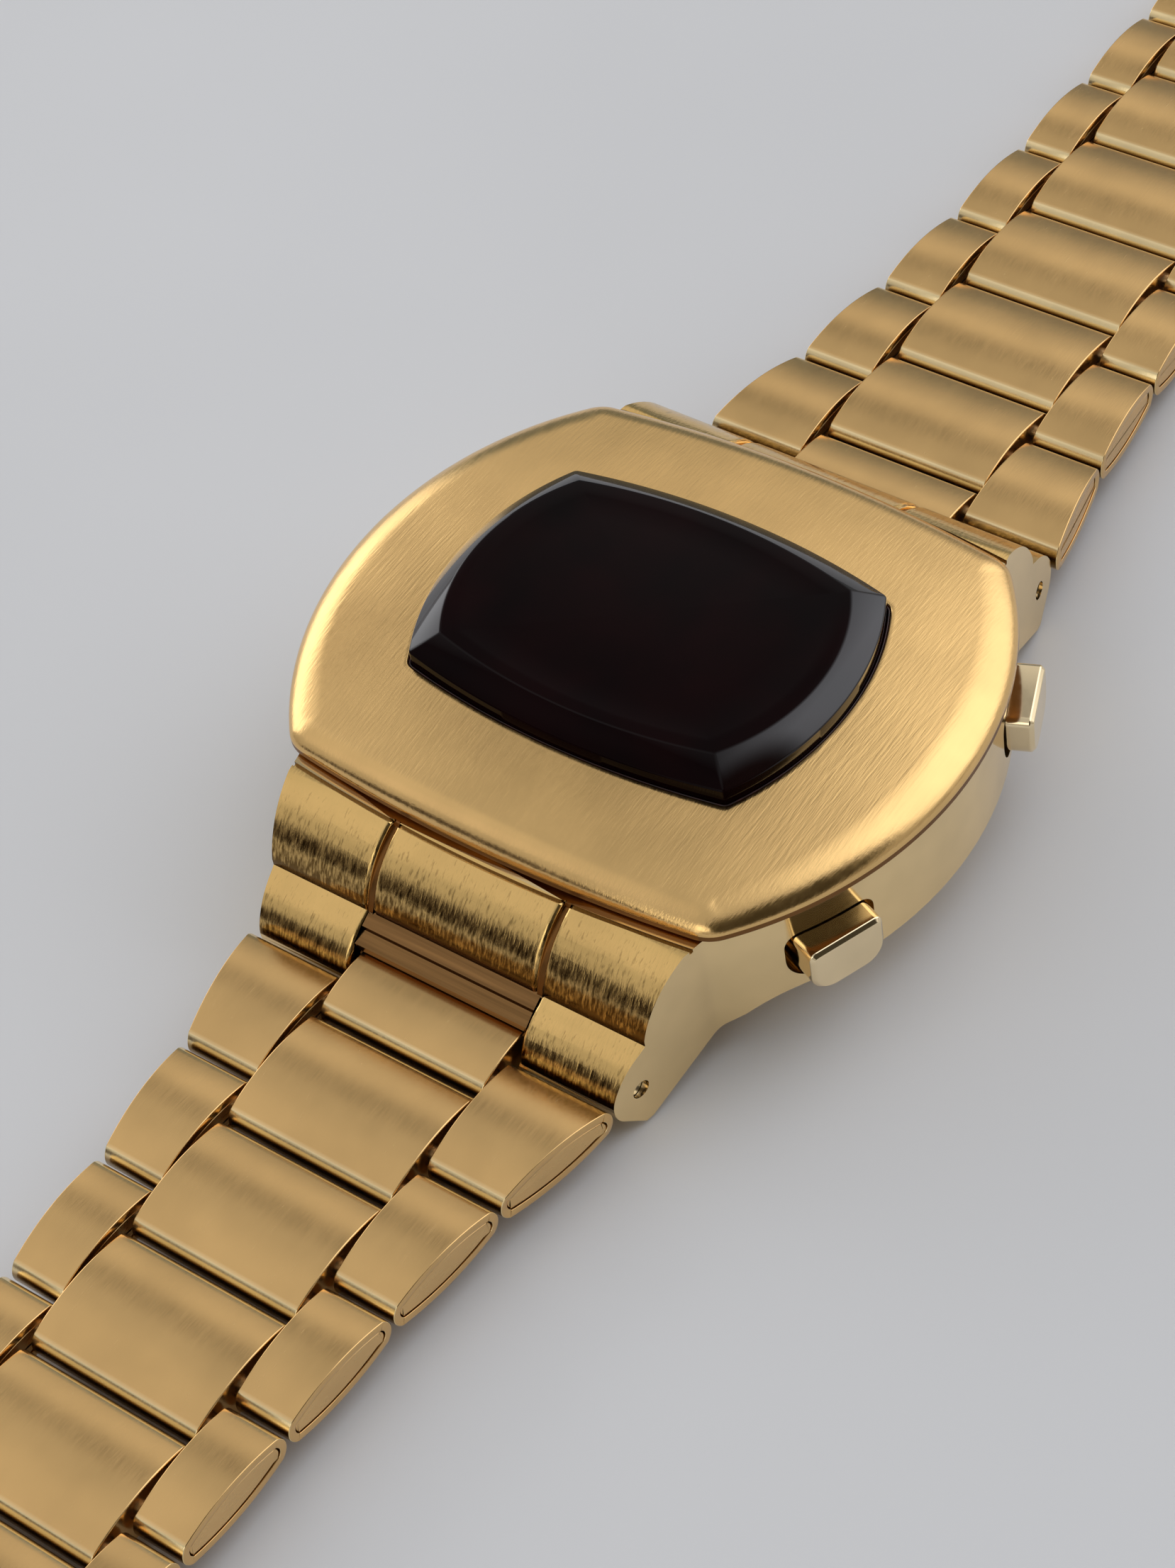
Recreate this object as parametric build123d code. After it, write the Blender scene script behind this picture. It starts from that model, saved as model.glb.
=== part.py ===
from build123d import *
import os
from math import asin, cos, degrees, exp, hypot, radians, sin, sqrt

# Cushion-cased light-emitting-diode wristwatch on a folded-link bracelet, laid open and flat.
# Millimetres. The origin is the centre of the flat case back, +Z out through the crystal,
# +X towards 3 o'clock, where the two pushers are, and +Y towards 12 o'clock.

# Case middle: one forging with the lugs
LUG_CLEARANCE = 0.3
SIDE_FOOT = 3.9
SIDE_HEIGHT = 6.25
CASE_CORNER_X = 13.35
CASE_CORNER_Y = 14.6
CASE_BULGE_X = 6.0
CASE_BULGE_Y = 0.95
LUG_TIP_WIDTH = 23.5
LUG_BLEND_RADIUS = 1.6
LUG_FOOT_LENGTH = 0.5
LUG_SLOPE_LENGTH = 6.4
LEG_HEIGHT_SHARE = 0.78
ARCH_SPAN = 2.2
LUG_BLOCK_LENGTH = 3.4
LUG_LEDGE_BACK = 0.76
LUG_LEDGE_SHARE = 0.482
LUG_STEP = 0.45
LUG_TOP_CROWN = 0.6
LUG_LOWER_CROWN = 0.3
GROOVE_WIDTH = 0.36
GROOVE_DEPTH = 0.5
SEAM_LEDGE = 0.42
SEAM_GROOVE = 0.22
CAVITY_RADIUS = 13.0
TUBE_WALL = 1.6
DECK_THICKNESS = 1.3
WINDOW_LENGTH = 18.6
WINDOW_WIDTH = 7.4
WINDOW_RADIUS = 1.0

# Top shell
SEAM_REVEAL = 0.35
SHELL_OVERHANG = 0.4
SHELL_CROWN = 2.3
SHELL_DOME_RADIUS_X = 200.0
SHELL_DOME_RADIUS_Y = 130.0
SHELL_EDGE_RADIUS = 0.75
SHELL_CORNER_RADIUS = 1.4
SEAT_INSET = 1.3

# Crystal and its gasket
CRYSTAL_CORNER_X = 10.38
CRYSTAL_CORNER_Y = 7.98
CRYSTAL_BULGE_X = 2.17
CRYSTAL_BULGE_Y = 1.17
CRYSTAL_EDGE_HEIGHT = 2.32
CRYSTAL_BEVEL_WIDTH = 1.35
CRYSTAL_BEVEL_HEIGHT = 0.96
CRYSTAL_GAP = 0.35
GASKET_THICKNESS = 0.4
GASKET_LAND = 1.2
GASKET_LIP_HEIGHT = 1.0
GASKET_FIT = 0.03

# Screw-in case back
BACK_FLANGE_LIP = 1.2
BACK_FLANGE_HEIGHT = 1.5
BACK_RIM_CHAMFER = 0.4
BACK_RING_HEIGHT = 1.6
BACK_RING_WALL = 0.9
BACK_FLOOR = 2.0
BACK_FIT = 0.05
BACK_NOTCHES = 6
BACK_NOTCH_WIDTH = 2.4
BACK_NOTCH_DEPTH = 0.9
BACK_SEAL_INSET = 0.3
BACK_SEAL_WIDTH = 0.55
BACK_SEAL_HEIGHT = 0.5
BACK_SEAL_FIT = 0.02

# Movement
FRAME_FIT = 0.15
FRAME_ROOF = 0.7
BOARD_THICKNESS = 0.8
BOARD_GAP = 0.08
BOARD_INSET = 0.4
CHIP_LENGTH = 6.0
CHIP_WIDTH = 4.0
CHIP_HEIGHT = 0.5
CHIP_Y = 8.6
CHIP_FIT = 0.1
DISPLAY_LENGTH = 15.6
DISPLAY_WIDTH = 6.2
DISPLAY_CLEARANCE = 0.25
DIGIT_COUNT = 4
DIGIT_PITCH = 3.5
DIGIT_WIDTH = 2.2
DIGIT_HEIGHT = 3.8
DIGIT_DEPTH = 0.25
CELL_RADIUS_SHARE = 0.446
CELL_SPACING_SHARE = 0.916
CELL_FIT = 0.1
CELL_STEP = 0.45
CONTACT_THICKNESS = 0.2
CONTACT_WIDTH = 4.0

# Pushers, a pair that mirrors about the 3 o'clock line
PUSHER_STATION = 26.1
PUSHER_ANGLE = 22.0
PUSHER_Z_SHARE = 0.412
PUSHER_WIDTH = 4.6
PUSHER_HEIGHT = 3.2
PUSHER_PROUD = 1.6
PUSHER_SUNK = 1.6
PUSHER_TRAVEL = 0.8
PUSHER_TOP_RADIUS = 0.45
PUSHER_FOOT_RADIUS = 1.4
PUSHER_BEVEL = 0.22
PUSHER_SIDE_GAP = 0.42
PUSHER_HEAD_GAP = 0.12
PUSHER_MOUTH_RADIUS = 0.95
PUSHER_END_GAP = 0.3
STEM_RADIUS = 0.75
STEM_FIT = 0.05
STEM_TAIL = 0.2
SPRING_WELL_RADIUS = 1.3
SPRING_WELL_SHARE = 0.553
SPRING_WIRE_RADIUS = 0.12
SPRING_RADIUS = 1.01
SPRING_TURNS = 4
SPRING_END_GAP = 0.02
CLIP_RADIUS = 1.3
CLIP_THICKNESS = 0.3
CLIP_SEAT_GAP = 0.03
CLIP_GRIP = 0.2
CLIP_FIT = 0.02
CLIP_ROOM = 0.15

# Case spring bars and the pocket where each end link swings
LUG_REACH = 4.81
SPRING_BAR_Z = 3.1
BAR_RADIUS = 0.5
BAR_FIT = 0.06
BAR_END_INSET = 0.35
BAR_SLOT_WIDTH = 0.2
BAR_SLOT_DEPTH = 0.3
LUG_NOSE_RADIUS = 1.95
NOSE_UPPER_ANGLE = 21.0
NOSE_LOWER_ANGLE = -50.0
POCKET_GAP = 0.34
POCKET_SIDE_GAP = 0.3
HOOD_ANGLE = 64.0
FLOOR_ANGLE = -76.0
HOOD_REACH = 0.84
HOOD_BROW = 0.1
HOOD_LIP = 0.4
HOOD_STEP = 0.3

# Bracelet rows
ROWS = 7
ROW_PITCH = 8.0
ROW_GAP = 0.24
HINGE_INSET = 1.26
END_LINK_REACH = 3.54
END_CROWN_SHARE = 0.9
LINK_TOP_CROWN = 1.5
LINK_FOOT_CROWN = 1.3
LINK_CREST = 0.95
LINK_HEEL = 0.85
LINK_SHOULDER = 0.45
CENTRE_WIDTH = 10.9
LINK_SIDE_GAP = 0.3
STRAP_WIDE = 24.2
STRAP_NARROW = 17.4
STRAP_TAPER_LENGTH = 12.5
PIN_RADIUS = 0.45
PIN_FIT = 0.02
PIN_RUNNING = 0.06
PIN_ENGAGEMENT = 1.7
FOLD_RIM = 0.5
FOLD_DEPTH = 0.5
FOLD_SLIT = 0.14
FOLD_INSET = 1.0
STRAP_REST_DROP = 1.7

# Folding clasp on the 6 o'clock half
CLASP_LENGTH = 33.0
CLASP_WALL = 0.65
CLASP_CROWN = 1.03
CLASP_END_TOP = 1.9
CLASP_NOSE_GAP = 0.35
CLASP_TOE = 2.5
BLADE_WIDTH = 15.0
BLADE_THICKNESS = 1.0
BLADE_GAP = 0.45
BLADE_PIN_INSET = 1.5
BLADE_FOLD_INSET = 5.2
BLADE_ROOF_GAP = 0.2
BLADE_KNUCKLE_RADIUS = 0.85
BLADE_KNUCKLE_GAP = 0.3
BLADE_WINDOW_SHARE = 0.6
BLADE_WINDOW_WIDTH = 6.4
FOLD_KNUCKLE_WIDTH = 5.0
CLASP_PIN_RADIUS = 0.4
CLASP_PIN_INSET = 0.2
RELEASE_REACH = 2.3
RELEASE_CLEARANCE = 1.6

# How far cutters run past the faces they cut
OVER = 1.0

# Heights and places that follow
BODY_TOP = SIDE_FOOT + SIDE_HEIGHT
SHELL_Z = BODY_TOP + SEAM_REVEAL
DECK_Z = SHELL_Z - DECK_THICKNESS
CRYSTAL_Z = SHELL_Z + GASKET_THICKNESS
BOARD_Z = DECK_Z - BOARD_GAP - BOARD_THICKNESS
LEDGE_Z = SPRING_BAR_Z + (BODY_TOP - SPRING_BAR_Z) * LUG_LEDGE_SHARE
SPRING_BAR_Y = CASE_CORNER_Y + CASE_BULGE_Y + LUG_REACH
LEDGE_Y = SPRING_BAR_Y - LUG_LEDGE_BACK
LUG_TIP_Y = SPRING_BAR_Y + LUG_NOSE_RADIUS + OVER
CELL_RADIUS = CAVITY_RADIUS * CELL_RADIUS_SHARE
CELL_X = CAVITY_RADIUS * CELL_SPACING_SHARE / 2
SIDE_RADIUS = (CASE_CORNER_Y ** 2 + CASE_BULGE_X ** 2) / (2 * CASE_BULGE_X)
PUSHER_X = CASE_CORNER_X + CASE_BULGE_X - SIDE_RADIUS * (1 - cos(radians(PUSHER_STATION)))
PUSHER_Y = SIDE_RADIUS * sin(radians(PUSHER_STATION))
PUSHER_Z = SIDE_FOOT + SIDE_HEIGHT * PUSHER_Z_SHARE
WELL_TOP = PUSHER_SUNK + PUSHER_TRAVEL + PUSHER_END_GAP
POCKET_RADIUS = HINGE_INSET + POCKET_GAP
POCKET_HALF = CENTRE_WIDTH / 2 + POCKET_SIDE_GAP
LINK_INNER = CENTRE_WIDTH / 2 + LINK_SIDE_GAP
LINK_LENGTH = ROW_PITCH - ROW_GAP
FIRST_HINGE = SPRING_BAR_Y + END_LINK_REACH
REST_TILT = degrees(asin(STRAP_REST_DROP / (ROWS * ROW_PITCH)))
CLASP_HINGE = FIRST_HINGE + ROWS * ROW_PITCH
CLASP_END = CLASP_HINGE + CLASP_LENGTH
CLASP_HALF = STRAP_NARROW / 2
BLADE_HALF = BLADE_WIDTH / 2
END_PIN_Y = CLASP_END - BLADE_PIN_INSET
END_PIN_Z = SPRING_BAR_Z + CLASP_END_TOP - CLASP_WALL - BLADE_KNUCKLE_RADIUS - BLADE_ROOF_GAP
FOLD_PIN_Y = CLASP_HINGE + BLADE_FOLD_INSET
INNER_BLADE_Z = END_PIN_Z - BLADE_THICKNESS - BLADE_GAP
FOLD_PIN_Z = (END_PIN_Z + INNER_BLADE_Z) / 2
RELEASE_Y = END_PIN_Y + RELEASE_REACH


def polar(centre, radius, angle):
    """The point at an angle and a radius round a centre."""
    return (centre[0] + radius * cos(radians(angle)), centre[1] + radius * sin(radians(angle)))


def crowned(start, end, crown):
    """An arc from start to end that stands off its chord by crown, on the left of the way."""
    span = hypot(end[0] - start[0], end[1] - start[1])
    along = ((end[0] - start[0]) / span, (end[1] - start[1]) / span)
    middle = ((start[0] + end[0]) / 2 - along[1] * crown, (start[1] + end[1]) / 2 + along[0] * crown)
    return ThreePointArc(start, middle, end)


def block(low, high):
    """A box between two corners."""
    size = [high[i] - low[i] for i in range(3)]
    middle = [(high[i] + low[i]) / 2 for i in range(3)]
    return Pos(*middle) * Box(*size)


def across(face, low, high):
    """A prism across the watch: a face drawn in Y and Z, run along X from low to high."""
    return extrude(Plane.YZ.offset(low) * face, amount=high - low)


def upright(face, low, high):
    """A prism on a plan, from height low up to height high."""
    return extrude(Pos(0, 0, low) * face, amount=high - low)


def cross_bar(radius, y, z, half):
    """A round bar along X, centred on the watch's middle plane."""
    return across(Pos(y, z) * Circle(radius), -half, half)


def both_ends(shape):
    """The shape together with its mirror image at the other end of the watch."""
    return shape + mirror(shape, Plane.XZ)


def both_sides(shape):
    """The shape's solids and their mirror images across the watch."""
    return list(shape.solids()) + list(mirror(shape, Plane.YZ).solids())


def cushion(corner_x, corner_y, bulge_x, bulge_y, grow=0):
    """The cushion outline: four arcs between four corners, grown outwards by grow."""
    x, y = corner_x + grow, corner_y + grow
    side = ThreePointArc((x, -y), (x + bulge_x, 0), (x, y))
    top = ThreePointArc((x, y), (0, y + bulge_y), (-x, y))
    far_side = ThreePointArc((-x, y), (-x - bulge_x, 0), (-x, -y))
    foot = ThreePointArc((-x, -y), (0, -y - bulge_y), (x, -y))
    return make_face([side, top, far_side, foot])


def case_outline(grow=0):
    """The case middle's own cushion, seen from above."""
    return cushion(CASE_CORNER_X, CASE_CORNER_Y, CASE_BULGE_X, CASE_BULGE_Y, grow)


def crystal_outline(grow=0):
    """The crystal's outer edge, seen from above."""
    return cushion(CRYSTAL_CORNER_X, CRYSTAL_CORNER_Y, CRYSTAL_BULGE_X, CRYSTAL_BULGE_Y, grow)


def lug_silhouette():
    """The case middle seen from 3 o'clock, on its 12 o'clock half."""
    pivot = (SPRING_BAR_Y, SPRING_BAR_Z)
    start = (LEDGE_Y - LUG_BLOCK_LENGTH, BODY_TOP)
    ledge = (LEDGE_Y, LEDGE_Z)
    step = (LEDGE_Y, LEDGE_Z - LUG_STEP)
    lower = (LEDGE_Y + LUG_STEP, LEDGE_Z - LUG_STEP * 3 / 2)
    nose = polar(pivot, LUG_NOSE_RADIUS, NOSE_UPPER_ANGLE)
    heel = polar(pivot, LUG_NOSE_RADIUS, NOSE_LOWER_ANGLE)
    toe = (SPRING_BAR_Y, LUG_CLEARANCE)
    foot = (SPRING_BAR_Y - LUG_FOOT_LENGTH, LUG_CLEARANCE)
    knee = (foot[0] - LUG_SLOPE_LENGTH, LUG_CLEARANCE + (SIDE_FOOT - LUG_CLEARANCE) * LEG_HEIGHT_SHARE)
    crown = (knee[0] - ARCH_SPAN, SIDE_FOOT)
    bend = (knee[0] - ARCH_SPAN * 0.45, SIDE_FOOT - (SIDE_FOOT - knee[1]) / 3)
    return make_face([
        crowned(start, ledge, LUG_TOP_CROWN),
        Polyline(ledge, step, lower),
        crowned(lower, nose, LUG_LOWER_CROWN),
        ThreePointArc(nose, polar(pivot, LUG_NOSE_RADIUS, 0), heel),
        Polyline(heel, toe, foot, knee),
        ThreePointArc(knee, bend, crown),
        Polyline(crown, (-OVER, SIDE_FOOT), (-OVER, BODY_TOP), start),
    ])


def body_plan():
    """The case middle from above: two bowed sides run into the four tapering lugs."""
    x, y, tip, tip_y = CASE_CORNER_X, CASE_CORNER_Y, LUG_TIP_WIDTH / 2, LUG_TIP_Y
    plan = make_face([
        ThreePointArc((x, -y), (x + CASE_BULGE_X, 0), (x, y)),
        Polyline((x, y), (tip, tip_y), (-tip, tip_y), (-x, y)),
        ThreePointArc((-x, y), (-x - CASE_BULGE_X, 0), (-x, -y)),
        Polyline((-x, -y), (-tip, -tip_y), (tip, -tip_y), (x, -y)),
    ])
    hollows = [v for v in plan.vertices() if abs(abs(v.Y) - y) < GASKET_FIT]
    return fillet(hollows, LUG_BLEND_RADIUS)


def end_pocket():
    """The mouth that the end link swings in, under its stepped hood, as a 12 o'clock cutter."""
    pivot = (SPRING_BAR_Y, SPRING_BAR_Z)
    floor = polar(pivot, POCKET_RADIUS, FLOOR_ANGLE)
    hood = polar(pivot, POCKET_RADIUS, HOOD_ANGLE)
    front_y = SPRING_BAR_Y + HOOD_REACH
    brow_z = hood[1] + HOOD_BROW
    shelf_z = brow_z + HOOD_LIP + HOOD_STEP
    ledge = (LEDGE_Y, LEDGE_Z - LUG_STEP)
    outside = [(LEDGE_Y, BODY_TOP), (LUG_TIP_Y, BODY_TOP), (LUG_TIP_Y, -OVER), (floor[0], -OVER)]
    hood_steps = [(front_y, brow_z), (front_y, brow_z + HOOD_LIP), (SPRING_BAR_Y, shelf_z)]
    face = make_face([
        Polyline(ledge, *outside, floor),
        ThreePointArc(floor, polar(pivot, POCKET_RADIUS, 180), hood),
        Polyline(hood, *hood_steps, (SPRING_BAR_Y, shelf_z + HOOD_STEP), ledge),
    ])
    return across(face, -POCKET_HALF, POCKET_HALF)


def lug_groove(x):
    """The groove between two lug blocks, as a 12 o'clock cutter."""
    start = (LEDGE_Y - LUG_BLOCK_LENGTH, BODY_TOP - GROOVE_DEPTH)
    end = (LEDGE_Y, LEDGE_Z - GROOVE_DEPTH)
    reach = LEDGE_Y + GROOVE_DEPTH
    face = make_face([
        crowned(start, end, LUG_TOP_CROWN),
        Polyline(end, (reach, end[1]), (reach, BODY_TOP + OVER), (start[0], BODY_TOP + OVER), start),
    ])
    return across(face, x - GROOVE_WIDTH / 2, x + GROOVE_WIDTH / 2)


def pusher_place(side):
    """Where a pusher's axis crosses the case wall; its own +X points outwards."""
    return Pos(PUSHER_X, side * PUSHER_Y, PUSHER_Z) * Rot(0, 0, side * PUSHER_ANGLE)


def pusher_face(grow=0, head=0, corner=PUSHER_TOP_RADIUS):
    """The pusher seen end on, flat on top with a deep round foot, grown by grow and by head on top."""
    half, low = PUSHER_WIDTH / 2 + grow, -PUSHER_HEIGHT / 2 - grow
    top = PUSHER_HEIGHT / 2 + head
    face = make_face(Polyline((-half, low), (half, low), (half, top), (-half, top), (-half, low)))
    face = fillet([v for v in face.vertices() if v.Y < 0], PUSHER_FOOT_RADIUS + grow)
    upper = [v for v in face.vertices() if v.Y > top - PUSHER_TOP_RADIUS / 4]
    return fillet(upper, corner)


def axial(radius, start, end):
    """A round length on the pusher's own axis, measured inwards from the case wall."""
    return extrude(Plane.YZ.offset(-end) * Circle(radius), amount=end - start)


def clip_depth():
    """How far in from the case wall the retaining clip first clears the cavity's round wall."""
    angle = radians(PUSHER_ANGLE)
    along = PUSHER_X * cos(angle) + PUSHER_Y * sin(angle)
    lever = abs(PUSHER_X * sin(angle) - PUSHER_Y * cos(angle)) + CLIP_RADIUS
    return along - sqrt(CAVITY_RADIUS ** 2 - lever ** 2) + CLIP_SEAT_GAP


def well_end():
    """How far in the spring's well goes: a share of the way from the pusher's well to its clip."""
    return WELL_TOP + (clip_depth() - WELL_TOP) * SPRING_WELL_SHARE


def stem_end():
    """How far in from the case wall the pusher's stem ends."""
    return clip_depth() + CLIP_THICKNESS + STEM_TAIL


def pusher_recess():
    """Everything cut from the case middle for one pusher, on the pusher's own axis."""
    mouth = pusher_face(PUSHER_SIDE_GAP, PUSHER_HEAD_GAP, PUSHER_MOUTH_RADIUS)
    cut = extrude(Plane.YZ.offset(-WELL_TOP) * mouth, amount=WELL_TOP + PUSHER_PROUD * 3)
    cut += axial(SPRING_WELL_RADIUS, WELL_TOP - OVER, well_end())
    return cut + axial(STEM_RADIUS + STEM_FIT, WELL_TOP, stem_end())


def pusher():
    """One push button: cap and stem in one piece, on its own axis."""
    depth = clip_depth()
    cap = extrude(Plane.YZ.offset(-PUSHER_SUNK) * pusher_face(), amount=PUSHER_SUNK + PUSHER_PROUD)
    cap = chamfer(cap.faces().sort_by(Axis.X)[-1].edges(), PUSHER_BEVEL)
    stem = axial(STEM_RADIUS, PUSHER_SUNK - OVER, stem_end())
    waist = depth + CLIP_THICKNESS + CLIP_FIT
    groove = axial(STEM_RADIUS + OVER, depth, waist) - axial(STEM_RADIUS - CLIP_GRIP, depth, waist)
    return cap + (stem - groove)


def pusher_clip():
    """The open clip that keeps a pusher in its hole, on the pusher's own axis."""
    depth = clip_depth()
    bore = STEM_RADIUS - CLIP_GRIP + CLIP_FIT
    ring = axial(CLIP_RADIUS, depth, depth + CLIP_THICKNESS)
    ring -= axial(bore, depth - OVER, depth + OVER)
    mouth = block((-depth - OVER, -bore, -CLIP_RADIUS - OVER), (OVER - depth, bore, 0))
    return ring - mouth


def pusher_spring():
    """The coil spring behind a pusher's cap, on the pusher's own axis."""
    low = PUSHER_SUNK + SPRING_WIRE_RADIUS + SPRING_END_GAP
    length = well_end() - low - SPRING_WIRE_RADIUS - SPRING_END_GAP
    path = Helix(pitch=length / SPRING_TURNS, height=length, radius=SPRING_RADIUS)
    start = Plane(origin=path @ 0, z_dir=path % 0)
    coil = sweep(start * RegularPolygon(SPRING_WIRE_RADIUS, 4), path=path, is_frenet=True)
    return Pos(-low - length, 0, 0) * Rot(0, 90, 0) * coil


def case_body():
    """The case middle: side walls, four lugs, the movement's tube and the display deck."""
    reach = CASE_CORNER_X + CASE_BULGE_X + OVER
    half = across(lug_silhouette(), -reach, reach)
    body = upright(body_plan(), 0, SHELL_Z) & both_ends(half)
    body += upright(case_outline(-SEAT_INSET), BODY_TOP - OVER, SHELL_Z)
    body += upright(Circle(CAVITY_RADIUS + TUBE_WALL), BACK_FLANGE_HEIGHT, SIDE_FOOT + OVER)
    body -= upright(Circle(CAVITY_RADIUS), 0, DECK_Z)
    body -= upright(Circle(CAVITY_RADIUS + BACK_FLANGE_LIP + BACK_FIT), -OVER, BACK_FLANGE_HEIGHT)
    window = RectangleRounded(WINDOW_LENGTH, WINDOW_WIDTH, WINDOW_RADIUS)
    body -= upright(window, DECK_Z - OVER, SHELL_Z + OVER)
    inner_edge = SHELL_OVERHANG + SEAM_LEDGE
    channel = case_outline(inner_edge + SEAM_GROOVE) - case_outline(inner_edge)
    body -= upright(channel, BODY_TOP - SEAM_GROOVE, SHELL_Z)
    bore = cross_bar(BAR_RADIUS + BAR_FIT, SPRING_BAR_Y, SPRING_BAR_Z, reach)
    body -= both_ends(end_pocket())
    body -= both_ends(bore)
    for side in (-1, 1):
        body -= both_ends(lug_groove(side * (POCKET_HALF - GROOVE_WIDTH / 4)))
        body -= pusher_place(side) * pusher_recess()
    return body


def top_shell():
    """The domed upper shell, with its rolled outer edge and the crystal's opening."""
    reach = CASE_CORNER_X + CASE_BULGE_X + SHELL_OVERHANG + OVER
    crown, base = SHELL_Z + SHELL_CROWN, SHELL_Z - OVER
    edge = crown - SHELL_DOME_RADIUS_X + sqrt(SHELL_DOME_RADIUS_X ** 2 - reach ** 2)
    section = make_face([
        ThreePointArc((-reach, edge), (0, crown), (reach, edge)),
        Polyline((reach, edge), (reach, base), (-reach, base), (-reach, edge)),
    ])
    axis = Axis((0, 0, crown - SHELL_DOME_RADIUS_Y), (1, 0, 0))
    swing = degrees(asin(reach / SHELL_DOME_RADIUS_Y))
    dome = revolve((Plane.XZ * section).rotate(axis, -swing), axis, 2 * swing)
    rim = upright(case_outline(SHELL_OVERHANG), SHELL_Z, crown)
    rim = fillet(rim.edges().filter_by(Axis.Z), SHELL_CORNER_RADIUS)
    shell = rim & dome
    bottom = shell.faces().sort_by(Axis.Z)[0].edges()
    upper = [e for e in shell.edges() - bottom if abs(e.tangent_at(0.5).Z) < sin(radians(45))]
    shell = fillet(upper, SHELL_EDGE_RADIUS)
    return shell - upright(crystal_outline(CRYSTAL_GAP), base, crown + OVER)


def crystal():
    """The flat-topped crystal with its four bevels."""
    edge = CRYSTAL_Z + CRYSTAL_EDGE_HEIGHT
    wall = upright(crystal_outline(), CRYSTAL_Z, edge)
    top = Pos(0, 0, edge + CRYSTAL_BEVEL_HEIGHT) * crystal_outline(-CRYSTAL_BEVEL_WIDTH)
    return wall + loft([Pos(0, 0, edge) * crystal_outline(), top], ruled=True)


def crystal_gasket():
    """The flat gasket under the crystal with its lip round the crystal's wall."""
    land = crystal_outline(CRYSTAL_GAP - GASKET_FIT) - crystal_outline(-GASKET_LAND)
    lip = crystal_outline(CRYSTAL_GAP - GASKET_FIT) - crystal_outline(GASKET_FIT)
    return upright(land, SHELL_Z, CRYSTAL_Z) + upright(lip, SHELL_Z, CRYSTAL_Z + GASKET_LIP_HEIGHT)


def seal_ring(fit):
    """The back seal's plan, smaller all round by fit."""
    inner = CAVITY_RADIUS + BACK_SEAL_INSET
    return Circle(inner + BACK_SEAL_WIDTH - fit) - Circle(inner + fit)


def case_back():
    """The screw-in back: a flat disc with wrench notches, and the ring that enters the tube."""
    rim = CAVITY_RADIUS + BACK_FLANGE_LIP
    ring = CAVITY_RADIUS - BACK_FIT
    flange = upright(Circle(rim), 0, BACK_FLANGE_HEIGHT)
    flange = chamfer(flange.edges().sort_by(Axis.Z)[0], BACK_RIM_CHAMFER)
    plug = upright(Circle(ring), BACK_FLANGE_HEIGHT - OVER, BACK_FLANGE_HEIGHT + BACK_RING_HEIGHT)
    plug -= upright(Circle(ring - BACK_RING_WALL), BACK_FLOOR, BACK_FLANGE_HEIGHT + BACK_RING_HEIGHT)
    back = flange + plug
    notch = block((rim - BACK_NOTCH_DEPTH, -BACK_NOTCH_WIDTH / 2, -OVER),
                  (rim + OVER, BACK_NOTCH_WIDTH / 2, BACK_NOTCH_DEPTH))
    for i in range(BACK_NOTCHES):
        back -= Rot(0, 0, 360 * i / BACK_NOTCHES) * notch
    return back - upright(seal_ring(0), BACK_FLANGE_HEIGHT - BACK_SEAL_HEIGHT, BACK_FLANGE_HEIGHT)


def case_back_gasket():
    """The flat seal in the back's groove."""
    return upright(seal_ring(BACK_SEAL_FIT), BACK_FLANGE_HEIGHT - BACK_SEAL_HEIGHT,
                   BACK_FLANGE_HEIGHT - BACK_SEAL_FIT)


def chip_block(grow):
    """The chip's package below the board, grown on its free sides by grow."""
    half_x, half_y = CHIP_LENGTH / 2 + grow, CHIP_WIDTH / 2 + grow
    return block((-half_x, CHIP_Y - half_y, BOARD_Z - CHIP_HEIGHT - grow), (half_x, CHIP_Y + half_y, BOARD_Z))


def module_frame():
    """The moulded frame that holds the cells and clears the pushers' stems."""
    low = BACK_FLANGE_HEIGHT + BACK_RING_HEIGHT
    frame = upright(Circle(CAVITY_RADIUS - FRAME_FIT), low, BOARD_Z)
    for side in (-1, 1):
        frame -= upright(Pos(side * CELL_X, 0) * Circle(CELL_RADIUS + CELL_FIT), low - OVER, BOARD_Z - FRAME_ROOF)
    frame -= chip_block(CHIP_FIT)
    room, inner = CLIP_RADIUS + CLIP_ROOM, stem_end() + PUSHER_TRAVEL + CLIP_ROOM
    for side in (-1, 1):
        slot = axial(room, 0, inner) + block((-inner, -room, 0), (0, room, BOARD_Z - PUSHER_Z + OVER))
        frame -= pusher_place(side) * slot
    return frame


def circuit_board():
    """The round circuit board with its chip on the underside."""
    plate = upright(Circle(CAVITY_RADIUS - BOARD_INSET), BOARD_Z, BOARD_Z + BOARD_THICKNESS)
    return plate + chip_block(0)


def led_display():
    """The display on the board, with one raised lens for each digit."""
    low = BOARD_Z + BOARD_THICKNESS
    top = CRYSTAL_Z - DISPLAY_CLEARANCE - DIGIT_DEPTH
    display = upright(Rectangle(DISPLAY_LENGTH, DISPLAY_WIDTH), low, top)
    for i in range(DIGIT_COUNT):
        x = (i - (DIGIT_COUNT - 1) / 2) * DIGIT_PITCH
        display += upright(Pos(x, 0) * Rectangle(DIGIT_WIDTH, DIGIT_HEIGHT), top - DIGIT_DEPTH, top + DIGIT_DEPTH)
    return display


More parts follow.
